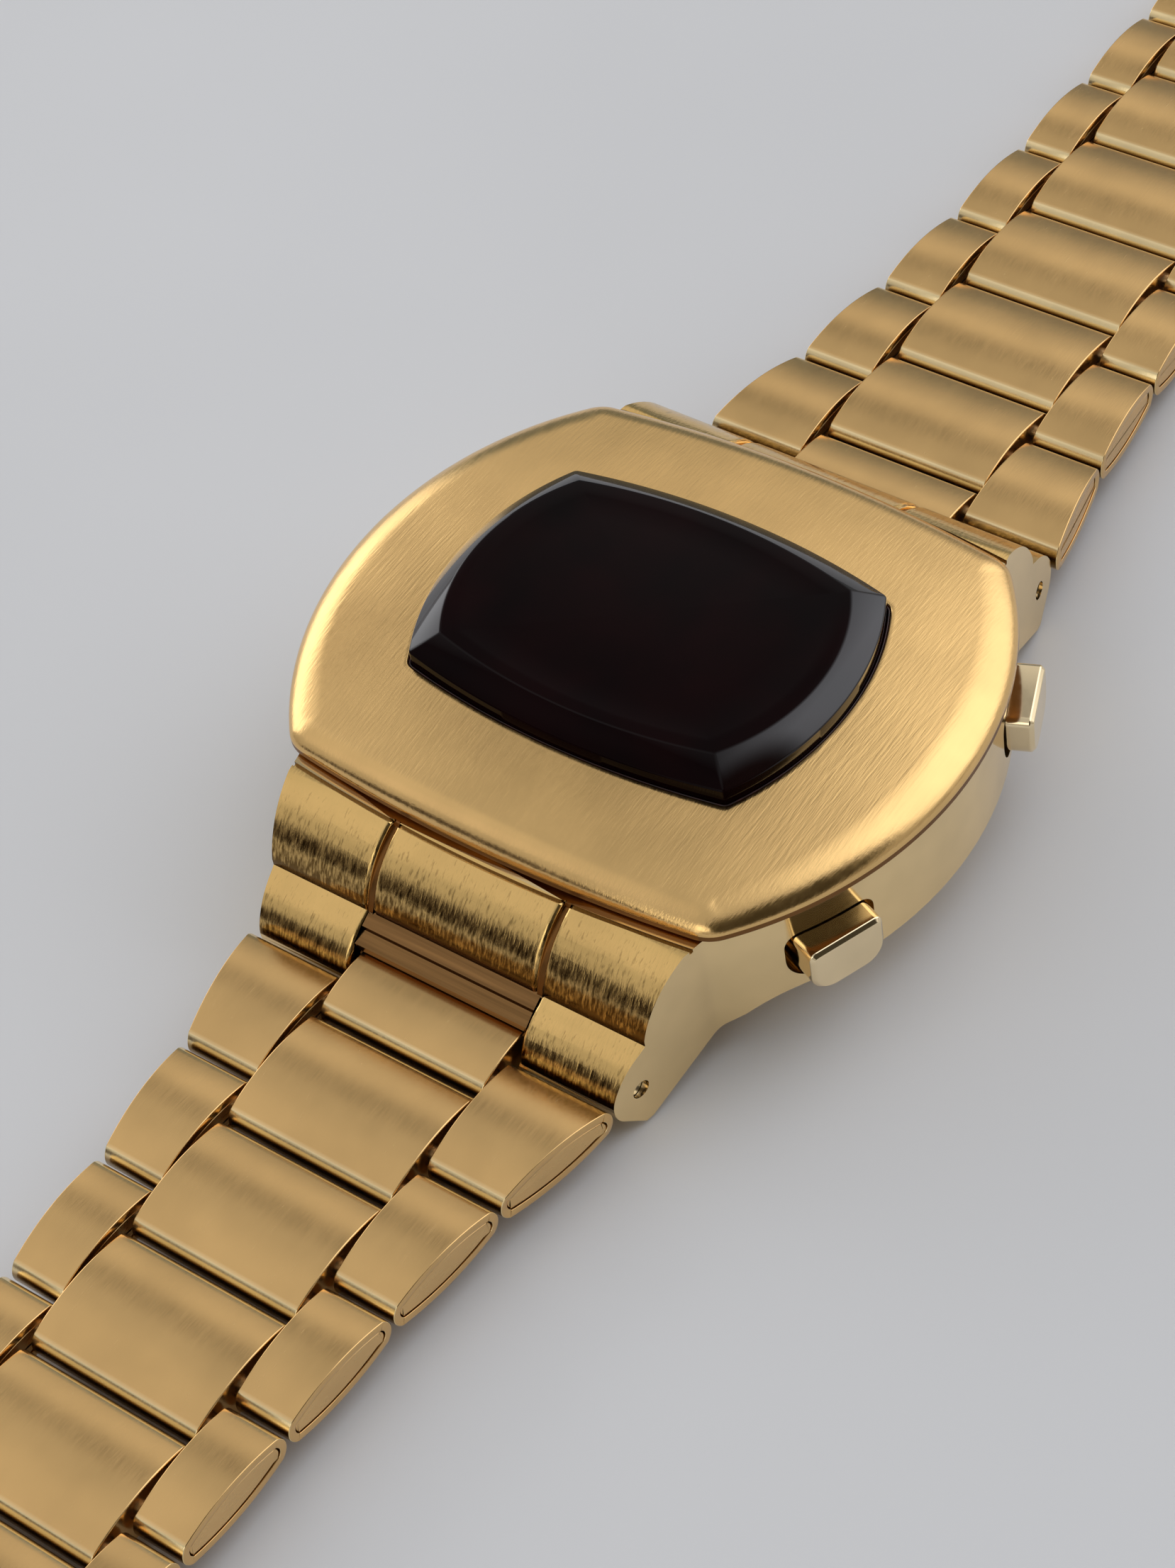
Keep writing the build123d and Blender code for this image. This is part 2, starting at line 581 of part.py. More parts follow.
def battery_cells():
    """The two button cells side by side, each with its stepped negative cap downwards."""
    low, high = BACK_FLOOR + CONTACT_THICKNESS, BOARD_Z - FRAME_ROOF
    cell = upright(Circle(CELL_RADIUS), low + CELL_STEP, high)
    cell += upright(Circle(CELL_RADIUS - CELL_STEP), low, low + CELL_STEP)
    return [Pos(side * CELL_X, 0, 0) * cell for side in (-1, 1)]


def battery_contact():
    """The contact plate on the back's floor that bridges the two cells."""
    plan = Rectangle(2 * CELL_X, CONTACT_WIDTH)
    for side in (-1, 1):
        plan += Pos(side * CELL_X, 0) * Circle(CELL_RADIUS / 2)
    return upright(plan, BACK_FLOOR, BACK_FLOOR + CONTACT_THICKNESS)


def spring_bars():
    """The two bars through the lugs, slotted at both tips."""
    slope = (CASE_CORNER_X - LUG_TIP_WIDTH / 2) / (LUG_TIP_Y - CASE_CORNER_Y)
    half = CASE_CORNER_X - slope * (SPRING_BAR_Y - CASE_CORNER_Y) - BAR_END_INSET
    bar = cross_bar(BAR_RADIUS, SPRING_BAR_Y, SPRING_BAR_Z, half)
    for side in (-1, 1):
        tip = Pos(side * half, SPRING_BAR_Y, SPRING_BAR_Z)
        bar -= tip * Box(2 * BAR_SLOT_DEPTH, 2 * BAR_RADIUS, BAR_SLOT_WIDTH)
    return list(bar.solids()) + list(mirror(bar, Plane.XZ).solids())


def link_face(start, end, crown_share=1):
    """A link's side profile: blunt round ends, a crowned top and a flatter crowned foot."""
    z, middle = SPRING_BAR_Z, (start + end) / 2
    low, high = start + LINK_SHOULDER, end - LINK_SHOULDER
    top, foot = z + LINK_CREST, z - LINK_HEEL
    return make_face([
        ThreePointArc((low, foot), (start, z), (low, top)),
        ThreePointArc((low, top), (middle, z + LINK_TOP_CROWN * crown_share), (high, top)),
        ThreePointArc((high, top), (end, z), (high, foot)),
        ThreePointArc((high, foot), (middle, z - LINK_FOOT_CROWN * crown_share), (low, foot)),
    ])


def strap_half(y):
    """Half the bracelet's width at a distance from the case centre: an even, slowing taper."""
    run = y - FIRST_HINGE + HINGE_INSET
    return (STRAP_NARROW + (STRAP_WIDE - STRAP_NARROW) * exp(-run / STRAP_TAPER_LENGTH)) / 2


def fold_slit(start, end):
    """The slit in an outer link's side face where the folded strip meets its filler."""
    low, high = start + FOLD_INSET, end - FOLD_INSET
    base = SPRING_BAR_Z + LINK_CREST - FOLD_RIM
    middle = ((start + end) / 2, SPRING_BAR_Z + LINK_TOP_CROWN - FOLD_RIM)
    return make_face([
        ThreePointArc((low, base), middle, (high, base)),
        Line((high, base), (high, base - FOLD_SLIT)),
        ThreePointArc((high, base - FOLD_SLIT), (middle[0], middle[1] - FOLD_SLIT), (low, base - FOLD_SLIT)),
        Line((low, base - FOLD_SLIT), (low, base)),
    ])


def outer_links(row):
    """A row's two outer links and the two pins that cross them, on the 12 o'clock half."""
    hinge = FIRST_HINGE + (row - 1) * ROW_PITCH
    start, end = hinge - HINGE_INSET, hinge - HINGE_INSET + LINK_LENGTH
    near, far = start - OVER, end + OVER
    plan = make_face(Polyline((0, near), (strap_half(near), near), (strap_half(far), far), (0, far), (0, near)))
    link = across(link_face(start, end), LINK_INNER, STRAP_WIDE) & upright(plan, 0, BODY_TOP)
    link -= across(fold_slit(start, end), strap_half(end) - FOLD_DEPTH, STRAP_WIDE)
    pins = []
    for y in (hinge, end - HINGE_INSET):
        pins.append(cross_bar(PIN_RADIUS, y, SPRING_BAR_Z, LINK_INNER + PIN_ENGAGEMENT))
        link -= cross_bar(PIN_RADIUS + PIN_FIT, y, SPRING_BAR_Z, LINK_INNER + PIN_ENGAGEMENT + PIN_FIT)
    return both_sides(link) + pins


def centre_link(row):
    """A row's centre link, bored for its own fixed pin and for the next row's hinge."""
    hinge = FIRST_HINGE + (row - 1) * ROW_PITCH
    end = hinge + ROW_PITCH + HINGE_INSET
    half = CENTRE_WIDTH / 2
    link = across(link_face(end - LINK_LENGTH, end), -half, half)
    fixed = hinge - 2 * HINGE_INSET + LINK_LENGTH
    link -= cross_bar(PIN_RADIUS + PIN_FIT, fixed, SPRING_BAR_Z, CENTRE_WIDTH)
    return link - cross_bar(PIN_RADIUS + PIN_RUNNING, hinge + ROW_PITCH, SPRING_BAR_Z, CENTRE_WIDTH)


def end_link():
    """The link between the case's spring bar and the first row, on the 12 o'clock half."""
    half = CENTRE_WIDTH / 2
    face = link_face(SPRING_BAR_Y - HINGE_INSET, FIRST_HINGE + HINGE_INSET, END_CROWN_SHARE)
    link = across(face, -half, half)
    link -= cross_bar(BAR_RADIUS + BAR_FIT, SPRING_BAR_Y, SPRING_BAR_Z, CENTRE_WIDTH)
    return link - cross_bar(PIN_RADIUS + PIN_RUNNING, FIRST_HINGE, SPRING_BAR_Z, CENTRE_WIDTH)


def clasp_roof(drop):
    """The clasp cover's crowned top line, lowered by drop."""
    start = (CLASP_HINGE - HINGE_INSET + LINK_SHOULDER, SPRING_BAR_Z + LINK_CREST - drop)
    return crowned(start, (CLASP_END, SPRING_BAR_Z + CLASP_END_TOP - drop), CLASP_CROWN)


def clasp_cover():
    """The clasp's folded cover, open below and at both ends, with its hinge knuckles."""
    low = CLASP_HINGE - HINGE_INSET
    heel = (low + LINK_SHOULDER, SPRING_BAR_Z - LINK_HEEL)
    crest = (low + LINK_SHOULDER, SPRING_BAR_Z + LINK_CREST)
    top = (CLASP_END, SPRING_BAR_Z + CLASP_END_TOP)
    face = make_face([
        ThreePointArc(heel, (low, SPRING_BAR_Z), crest),
        clasp_roof(0),
        Polyline(top, (CLASP_END, 0), (CLASP_HINGE + CLASP_TOE, 0), heel),
    ])
    cover = across(face, -CLASP_HALF, CLASP_HALF)
    floor = (crest[0], -OVER)
    room = make_face([
        clasp_roof(CLASP_WALL),
        Polyline((top[0], top[1] - CLASP_WALL), (CLASP_END, -OVER), floor, (floor[0], crest[1] - CLASP_WALL)),
    ])
    mouth = CLASP_HINGE + HINGE_INSET + CLASP_NOSE_GAP
    inside = CLASP_HALF - CLASP_WALL
    far, high = CLASP_END + OVER, SPRING_BAR_Z * 3
    cover -= across(room, -inside, inside) & block((-inside, mouth + CLASP_WALL, -2 * OVER), (inside, far, high))
    cover -= block((-LINK_INNER, low - OVER, -OVER), (LINK_INNER, mouth, high))
    cover -= block((-inside, END_PIN_Y - BLADE_KNUCKLE_RADIUS - PIN_RUNNING, -OVER), (inside, far, high))
    cover -= cross_bar(PIN_RADIUS + PIN_FIT, CLASP_HINGE, SPRING_BAR_Z, LINK_INNER + PIN_ENGAGEMENT + PIN_FIT)
    return cover - cross_bar(CLASP_PIN_RADIUS + PIN_FIT, END_PIN_Y, END_PIN_Z, STRAP_NARROW)


def blade_plate(z, low, high, half=BLADE_HALF):
    """A flat length of clasp blade centred on height z."""
    return block((-half, low, z - BLADE_THICKNESS / 2), (half, high, z + BLADE_THICKNESS / 2))


def blade_window(z, low, high):
    """The long opening in the middle of a clasp blade."""
    middle, length = (low + high) / 2, (high - low) * BLADE_WINDOW_SHARE
    window = Pos(0, middle) * RectangleRounded(BLADE_WINDOW_WIDTH, length, BLADE_WINDOW_WIDTH / 4)
    return upright(window, z - BLADE_THICKNESS, z + BLADE_THICKNESS)


def blade_outer():
    """The clasp blade that is pinned in the cover's far end."""
    blade = blade_plate(END_PIN_Z, FOLD_PIN_Y, END_PIN_Y)
    blade += cross_bar(BLADE_KNUCKLE_RADIUS, END_PIN_Y, END_PIN_Z, BLADE_HALF)
    blade += cross_bar(BLADE_KNUCKLE_RADIUS, FOLD_PIN_Y, FOLD_PIN_Z, BLADE_HALF)
    room = FOLD_KNUCKLE_WIDTH / 2 + BLADE_KNUCKLE_GAP
    reach = BLADE_KNUCKLE_RADIUS + BLADE_KNUCKLE_GAP
    blade -= block((-room, FOLD_PIN_Y - reach, -OVER), (room, FOLD_PIN_Y + reach, END_PIN_Z + reach))
    blade -= blade_window(END_PIN_Z, FOLD_PIN_Y, END_PIN_Y)
    blade -= cross_bar(CLASP_PIN_RADIUS + PIN_RUNNING, END_PIN_Y, END_PIN_Z, STRAP_NARROW)
    return blade - cross_bar(CLASP_PIN_RADIUS + PIN_FIT, FOLD_PIN_Y, FOLD_PIN_Z, STRAP_NARROW)


def blade_inner():
    """The clasp blade that ends in two ears for the release bar."""
    z = INNER_BLADE_Z
    root, end = FOLD_PIN_Y + BLADE_KNUCKLE_RADIUS + BLADE_KNUCKLE_GAP, RELEASE_Y - RELEASE_CLEARANCE
    blade = blade_plate(z, root, RELEASE_Y) + blade_plate(z, FOLD_PIN_Y, root + OVER, FOLD_KNUCKLE_WIDTH / 2)
    blade += cross_bar(BLADE_KNUCKLE_RADIUS, FOLD_PIN_Y, FOLD_PIN_Z, FOLD_KNUCKLE_WIDTH / 2)
    blade += cross_bar(BLADE_KNUCKLE_RADIUS, RELEASE_Y, z, BLADE_HALF)
    blade -= block((-LINK_INNER, end, -OVER), (LINK_INNER, RELEASE_Y + 2 * OVER, z + 2 * OVER))
    blade -= blade_window(z, root, end)
    blade -= cross_bar(CLASP_PIN_RADIUS + PIN_RUNNING, FOLD_PIN_Y, FOLD_PIN_Z, STRAP_NARROW)
    return blade - cross_bar(PIN_RADIUS + PIN_FIT, RELEASE_Y, z, LINK_INNER + CLASP_PIN_INSET * 5)


def rest_at_12h(shapes):
    """The 12 o'clock half's shapes let down about their spring bar until the strap meets the table."""
    axis = Axis((0, SPRING_BAR_Y, SPRING_BAR_Z), (1, 0, 0))
    return [s.rotate(axis, -REST_TILT) for s in shapes]


def rest_at_6h(shapes):
    """The same shapes at the 6 o'clock end."""
    return [mirror(s, Plane.XZ) for s in shapes]


def save(name, shapes):
    """Write one node's solids to its own STEP file."""
    solids = [solid for s in shapes for solid in s.solids()]
    export_step(solids[0] if len(solids) == 1 else Compound(solids), "parts/" + name + ".step")


def save_case():
    """Write every node that stays with the case."""
    save("case_body", [case_body()])
    save("top_shell", [top_shell()])
    save("crystal", [crystal()])
    save("crystal_gasket", [crystal_gasket()])
    save("case_back", [case_back()])
    save("case_back_gasket", [case_back_gasket()])
    save("module_frame", [module_frame()])
    save("circuit_board", [circuit_board()])
    save("led_display", [led_display()])
    save("battery_cells", battery_cells())
    save("battery_contact", [battery_contact()])
    save("spring_bars", spring_bars())
    button, spring, clip = pusher(), pusher_spring(), pusher_clip()
    for hour, side in (("2h", 1), ("4h", -1)):
        save("pusher_" + hour, [pusher_place(side) * button])
        save("pusher_" + hour + "_spring", [pusher_place(side) * spring])
        save("pusher_" + hour + "_clip", [pusher_place(side) * clip])


def save_bracelet():
    """Write both halves of the bracelet, row by row."""
    for end, rest in (("6h", rest_at_6h), ("12h", rest_at_12h)):
        save("end_link_" + end, rest([end_link()]))
        for row in range(1, ROWS + 1):
            save("outer_links_%s_%d" % (end, row), rest(outer_links(row)))
            save("centre_link_%s_%d" % (end, row), rest([centre_link(row)]))


def save_clasp():
    """Write the clasp, closed, on the 6 o'clock half."""
    hinge_half = LINK_INNER + PIN_ENGAGEMENT
    pin_half, fold_half = CLASP_HALF - CLASP_PIN_INSET, BLADE_HALF - CLASP_PIN_INSET
    release_half = LINK_INNER + CLASP_PIN_INSET * 4
    save("clasp_cover", rest_at_6h([clasp_cover()]))
    save("clasp_blade_outer", rest_at_6h([blade_outer()]))
    save("clasp_blade_inner", rest_at_6h([blade_inner()]))
    save("clasp_hinge_bar", rest_at_6h([cross_bar(PIN_RADIUS, CLASP_HINGE, SPRING_BAR_Z, hinge_half)]))
    save("clasp_end_pin", rest_at_6h([cross_bar(CLASP_PIN_RADIUS, END_PIN_Y, END_PIN_Z, pin_half)]))
    save("clasp_fold_pin", rest_at_6h([cross_bar(CLASP_PIN_RADIUS, FOLD_PIN_Y, FOLD_PIN_Z, fold_half)]))
    save("release_bar", rest_at_6h([cross_bar(PIN_RADIUS, RELEASE_Y, INNER_BLADE_Z, release_half)]))


os.makedirs("parts", exist_ok=True)
save_case()
save_bracelet()
save_clasp()
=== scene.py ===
"""Looks for the gold LED wristwatch: finishes, smooth surfaces, studio and camera.

Sizes are millimetres from the CAD source; meshes are built in metres in the CAD frame, whose
origin is the centre of the flat case back, +Z out through the crystal, +X towards 3 o'clock.
"""

import logging
import math
from collections.abc import Iterator
from contextlib import contextmanager
from dataclasses import dataclass
from enum import Enum
from functools import cache

import bmesh
import bpy
import numpy as np
from bpy.types import ID, Material, Mesh, MeshPolygon, Node, NodeSocket, NodeTree, Object
from mathutils import Matrix, Vector


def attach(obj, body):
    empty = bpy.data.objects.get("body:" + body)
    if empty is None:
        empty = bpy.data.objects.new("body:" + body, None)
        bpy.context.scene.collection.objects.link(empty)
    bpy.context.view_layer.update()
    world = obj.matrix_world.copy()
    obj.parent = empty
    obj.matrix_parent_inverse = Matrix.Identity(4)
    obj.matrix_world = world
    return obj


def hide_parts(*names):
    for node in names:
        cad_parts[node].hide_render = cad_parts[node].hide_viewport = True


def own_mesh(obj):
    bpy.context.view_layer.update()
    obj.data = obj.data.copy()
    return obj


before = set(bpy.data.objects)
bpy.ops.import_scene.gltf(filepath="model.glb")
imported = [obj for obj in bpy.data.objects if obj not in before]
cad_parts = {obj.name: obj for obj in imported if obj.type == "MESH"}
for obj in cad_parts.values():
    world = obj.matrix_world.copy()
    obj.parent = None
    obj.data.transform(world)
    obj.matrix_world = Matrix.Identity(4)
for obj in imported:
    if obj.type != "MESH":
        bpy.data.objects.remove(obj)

LOG = logging.getLogger("watch")
MM = 0.001
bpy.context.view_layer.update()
QUARTER_TURN = math.pi / 2
WELD = 1e-7  # Distance in metres under which points of a new mesh are one.
FACE_WEIGHT = 60  # How strongly large faces lead the normals, from 1 to 100.
Part = tuple[np.ndarray, list]  # A solid's vertices in millimetres, and its faces.
Reach = np.ndarray | float  # One X for a whole side, or one for each of its points.


class Finish(Enum):
    """The finishes that the watch's visible surfaces have, by material name."""

    SHELL = "brushed_shell"
    LUG = "brushed_lug"
    WALL = "polished_wall"
    LINK = "satin_link"
    LINK_SIDE = "satin_link_side"
    PUSHER = "polished_pusher"
    CRYSTAL = "dark_red_crystal"
    RUBBER = "black_rubber"
    STEEL = "satin_steel"
    PLASTIC = "moulded_plastic"
    BOARD = "board_lacquer"
    DISPLAY = "display_lens"
    # This finish's dark gold, for grooves and recesses, is painted shade.
    SHADED_RECESS = "painted_shade_recess"
    BEAD = "dark_red_bead"
    HOOD = "shaded_hood"


@dataclass(frozen=True)
class MetalLook:
    """A metal finish: its colour, its gloss and the grain that its last polish left."""

    colour: tuple  # Linear RGB.
    roughness: float
    spread: float  # How far roughness swings between grain lines.
    grain: tuple  # Cells per metre along X, Y and Z; few along the brushing direction.
    depth: float  # Height of the grain, in metres.
    pits: float = 0.0  # Strength of the fine cast pits, 0 to 1.
    shade_keeps: float = 1.0  # How much colour is kept where the metal faces sideways or down: painted shade.
    mottle: tuple | None = None  # Darkest and lightest share of the colour along the grain.
    painted_edge_light: bool = False  # Whether rolled edges get a painted pale highlight, and the gaps beside them painted shade.


@dataclass(frozen=True)
class MottleLook:
    """A mottled rubber, plastic or lacquer."""

    low: tuple  # Darker colour, linear RGB.
    high: tuple
    cells: float  # Mottles per metre.
    roughness: float
    depth: float  # Height of the bump, in metres.


METALS = {
    Finish.SHELL: MetalLook((0.84, 0.54, 0.215), 0.20, 0.09, (6500, 480, 6500), 11e-6, 0.12),
    # The lug blocks keep 0.19 of their colour where they face sideways or down: painted shade.
    Finish.LUG: MetalLook((0.84, 0.55, 0.20), 0.17, 0.12, (7000, 1400, 1400), 15e-6, 0.12, 0.19),
    Finish.WALL: MetalLook((0.92, 0.69, 0.36), 0.12, 0.05, (700, 700, 5000), 0.6e-6, 0.05),
    # The links' rolled edges get a painted highlight, and the faces in their gaps painted shade.
    Finish.LINK: MetalLook(
        (0.77, 0.49, 0.20), 0.23, 0.07, (12000, 520, 12000), 4e-6, painted_edge_light=True
    ),
    Finish.LINK_SIDE: MetalLook((0.80, 0.52, 0.22), 0.30, 0.12, (3000, 700, 3000), 1.4e-6, 0.1),
    Finish.PUSHER: MetalLook((0.92, 0.74, 0.46), 0.10, 0.05, (2600, 2600, 2600), 0.6e-6),
    # The hood's dark brown is painted shade.
    Finish.HOOD: MetalLook(
        (0.23, 0.12, 0.043), 0.18, 0.08, (60, 3000, 3000), 12e-6, mottle=(0.62, 1.35)
    ),
    # Painted shade: a dark gold for the grooves, the shell's skirt and the wall of the crystal's
    # opening.
    Finish.SHADED_RECESS: MetalLook((0.22, 0.10, 0.03), 0.35, 0.10, (2500, 2500, 2500), 2e-6),
    Finish.STEEL: MetalLook((0.66, 0.65, 0.62), 0.30, 0.10, (9000, 400, 9000), 1.2e-6),
}

MOTTLES = {
    Finish.RUBBER: MottleLook((0.006, 0.005, 0.005), (0.014, 0.010, 0.010), 1800, 0.55, 4e-6),
    Finish.PLASTIC: MottleLook((0.018, 0.018, 0.02), (0.03, 0.03, 0.033), 1500, 0.45, 3e-6),
    Finish.BOARD: MottleLook((0.006, 0.045, 0.018), (0.01, 0.07, 0.03), 900, 0.3, 2e-6),
    Finish.DISPLAY: MottleLook((0.05, 0.004, 0.004), (0.09, 0.006, 0.006), 700, 0.15, 1e-6),
    Finish.BEAD: MottleLook((0.006, 0.002, 0.002), (0.05, 0.006, 0.004), 2200, 0.35, 8e-6),
}

# Metal: clouds in the colour, coarser grain under the fine grain, cast pits, and painted shade on
# faces that lean sideways or down. Every count of cells is per metre.
CLOUD_CELLS = 260
CLOUD_SHARES = (0.93, 1.05)
COARSE_DIVISOR = 7
COARSE_HEIGHT = 0.25
PATCH_DIVISOR = 5
PIT_CELLS = 4200
PIT_DEPTH = 6e-6
PIT_RANGE = (0.22, 0.42)
SHADE_SHARES = (1, 0.86, 0.7)
SHADE_RANGE = (0.30, 0.72)
SHADE_RAGGED = 0.3
MOTTLE_SWING = 0.06

# Shares of the colour by how far a face looks along Y: plain top, painted highlight on the rolled
# edge, painted shade in the gap.
EDGE_HIGHLIGHT = (1.22, 1.5, 2.0)
ROLL_STOPS = (
    (0.32, (1, 1, 1)), (0.55, EDGE_HIGHLIGHT), (0.86, EDGE_HIGHLIGHT), (0.95, (0.5, 0.5, 0.5)),
    (0.99, (0.34, 0.34, 0.30)),
)

# The crystal's body, its dust, and how its gloss fades on its top and on its -Y side, as the
# low, high, start and end that spread takes.
CRYSTAL_LOW = (0.0028, 0.0010, 0.0012)
CRYSTAL_HIGH = (0.0075, 0.0014, 0.0017)
CRYSTAL_CELLS = 160
DUST_CELLS = 2600
DUST_ROUGHNESS = (0.03, 0.07)
CRYSTAL_IOR = 1.5
TOP_GLOSS = (0.62, 0.08, 0.82, 0.99)
SIDE_GLOSS = (0.06, 1.0, -0.52, -0.2)

# The table top.
FLOOR_HALF = 2500
FLOOR_LOW = (0.685, 0.685, 0.69)
FLOOR_HIGH = (0.725, 0.725, 0.73)
FLOOR_CELLS = 14
FLOOR_ROUGHNESS = 0.6
FLOOR_GLOSS = 0.3


@dataclass(frozen=True)
class Cushion:
    """A cushion outline: four bowed sides between four rounded corners, in millimetres."""

    corner_x: float  # The corners' place before they are rounded.
    corner_y: float
    bulge_x: float  # How far the sides that face X bow out.
    bulge_y: float
    radius: float  # Corner radius.

    SIDE_POINTS = 96
    CORNER_POINTS = 10
    REACH_SHARE = 0.62  # Tangent length over corner radius.

    def grown(self, by: float, radius: float) -> "Cushion":
        """Move every side outwards by a distance, and give the corners a new radius."""
        x, y = self.corner_x + by, self.corner_y + by
        return Cushion(x, y, self.bulge_x, self.bulge_y, radius)

    def loop(self) -> np.ndarray:
        """Sample the outline anticlockwise, starting at the -Y end of the +X side.

        Each side is a circular arc through its two corners and its bulge; each corner is a
        quadratic Bezier q(t) = (1-t)^2 a + 2t(1-t) c + t^2 b between points a and b, one
        tangent length before and after the corner c.

        Returns:
            An (N, 2) array in millimetres.
        """
        x, y = self.corner_x, self.corner_y
        corners = np.array([(x, -y), (x, y), (-x, y), (-x, -y)])
        normals = np.array([(1, 0), (0, 1), (-1, 0), (0, -1)])
        bulges = (self.bulge_x, self.bulge_y) * 2
        ends = np.roll(corners, -1, 0)
        sides = [BowedSide(*side) for side in zip(corners, ends, normals, bulges)]
        cut = self.radius * self.REACH_SHARE
        t = np.linspace(0, 1, self.CORNER_POINTS + 2)[1:-1, None]
        points = []
        for side, after, c in zip(sides, sides[1:] + sides[:1], ends):
            points.append(side(np.linspace(cut, side.length - cut, self.SIDE_POINTS)))
            a, b = side(np.array([side.length - cut]))[0], after(np.array([cut]))[0]
            points.append((1 - t) ** 2 * a + 2 * t * (1 - t) * c + t ** 2 * b)
        return np.concatenate(points)


class BowedSide:
    """A circular arc from a to b that bows out along a normal, sampled by arc length."""

    def __init__(self, a: np.ndarray, b: np.ndarray, normal: np.ndarray, bulge: float) -> None:
        """Find the circle: R = (chord^2 / 4 + bulge^2) / (2 bulge).

        Args:
            a: Where the arc starts.
            b: Where it ends.
            normal: Unit normal that it bows out along.
            bulge: How far its middle stands out from the chord.
        """
        chord = np.linalg.norm(b - a)
        self.radius = (chord ** 2 / 4 + bulge ** 2) / (2 * bulge)
        self.centre = (a + b) / 2 + normal * (bulge - self.radius)
        self.half = math.asin(chord / 2 / self.radius)
        self.length = 2 * self.half * self.radius
        self.normal = normal
        self.along = (b - a) / chord

    def __call__(self, run: np.ndarray) -> np.ndarray:
        """Points at arc lengths run from a: centre + R (cos f n + sin f t), f = run / R - half."""
        f = (run / self.radius - self.half)[:, None]
        return self.centre + self.radius * (np.cos(f) * self.normal + np.sin(f) * self.along)


@dataclass(frozen=True)
class CaseSizes:
    """The case's sizes in millimetres: the CAD source's, and those of the finer surfaces.

    The shell's roll is shell_edge wide at 3 and 9 o'clock, and shell_edge_ends at 12 and 6.
    """

    shell: Cushion = Cushion(13.75, 15.0, 6.0, 0.95, 1.4)
    crystal: Cushion = Cushion(10.38, 7.98, 2.17, 1.17, 0.3)
    shell_z: float = 10.5
    shell_crown: float = 2.3
    dome_x: float = 200.0
    dome_y: float = 130.0
    shell_edge: float = 2.3
    shell_edge_ends: float = 1.5
    shell_foot: float = 10.3
    foot_round: float = 0.05
    foot_rise: float = 0.04
    lip_margin: float = 0.01
    skirt: float = 1.2
    shell_lip: float = 0.18
    opening_gap: float = 0.14
    opening_corner: float = 0.45
    opening_lip: float = 0.1
    opening_reach: float = 0.5
    crystal_z: float = 10.9
    crystal_wall: float = 2.32
    bevel_width: float = 1.35
    bevel_height: float = 0.96
    ground_edge: float = 0.07
    rim_drop: float = 0.004
    top_rise: float = 0.05
    corner_share: float = 0.1
    least_corner: float = 0.12
    bead_gap: float = 0.02
    bead_depth: float = 0.12
    bead_swell: float = 0.05


@dataclass(frozen=True)
class StrapSizes:
    """The bracelet's sizes in millimetres: the CAD source's, and those of the finer surfaces."""

    rows: int = 7
    pitch: float = 8.0
    gap: float = 0.24
    inset: float = 1.26
    bar_y: float = 20.36
    bar_z: float = 3.1
    first_hinge: float = 23.9
    top: float = 1.5
    foot: float = 1.3
    crest: float = 0.95
    heel: float = 0.85
    shoulder: float = 0.45
    end_share: float = 0.9
    centre_half: float = 5.45
    centre_soft: float = 0.09
    outer_inner: float = 5.75
    wide: float = 24.2
    narrow: float = 17.4
    taper: float = 12.5
    rim: float = 0.5
    rim_soft: float = 0.06
    slit: float = 0.09
    filler_soft: float = 0.05
    pin_radius: float = 0.45
    pin_reach: float = 0.04
    pin_soft: float = 0.02
    tilt_drop: float = 1.7

    @property
    def length(self) -> float:
        """One link's length."""
        return self.pitch - self.gap

    @property
    def tilt(self) -> float:
        """The 12 o'clock half's slope at rest, in radians."""
        return -math.asin(self.tilt_drop / (self.rows * self.pitch))

    def half_width(self, y: np.ndarray) -> np.ndarray:
        """Half the bracelet's width: (narrow + (wide - narrow) exp(-run / taper)) / 2."""
        run = y - self.first_hinge + self.inset
        return (self.narrow + (self.wide - self.narrow) * np.exp(-run / self.taper)) / 2


CASE = CaseSizes()
STRAP = StrapSizes()


@contextmanager
def editing(mesh: Mesh) -> Iterator[bmesh.types.BMesh]:
    """Open a mesh for editing and write it back afterwards.

    Args:
        mesh: The mesh.

    Yields:
        The mesh being edited.
    """
    bm = bmesh.new()
    bm.from_mesh(mesh)
    yield bm
    bm.to_mesh(mesh)
    bm.free()


def add_object(name: str, data: ID) -> Object:
    """Make an object for a mesh, camera or light, and link it to the scene.

    Args:
        name: The object's name.
        data: What it holds.

    Returns:
        The object.
    """
    obj = bpy.data.objects.new(name, data)
    bpy.context.scene.collection.objects.link(obj)
    return obj


def make_object(name: str, verts: np.ndarray, faces: list) -> Object:
    """Make a mesh object from millimetre vertices.

    Args:
        name: The object's name.
        verts: (N, 3) vertices in millimetres.
        faces: Tuples of vertex indices.

    Returns:
        The linked object, smooth shaded.
    """
    mesh = bpy.data.meshes.new(name)
    mesh.from_pydata((verts * MM).tolist(), [], faces)
    mesh.update()
    with editing(mesh) as bm:
        bmesh.ops.remove_doubles(bm, verts=bm.verts, dist=WELD)
        bmesh.ops.recalc_face_normals(bm, faces=bm.faces)
    mesh.polygons.foreach_set("use_smooth", [True] * len(mesh.polygons))
    return add_object(name, mesh)


def at_height(loop: np.ndarray, z: float | np.ndarray) -> np.ndarray:
    """Turn (x, y) points into (x, y, z) points at one height, or at a height each."""
    return np.column_stack([loop, np.broadcast_to(z, len(loop))])


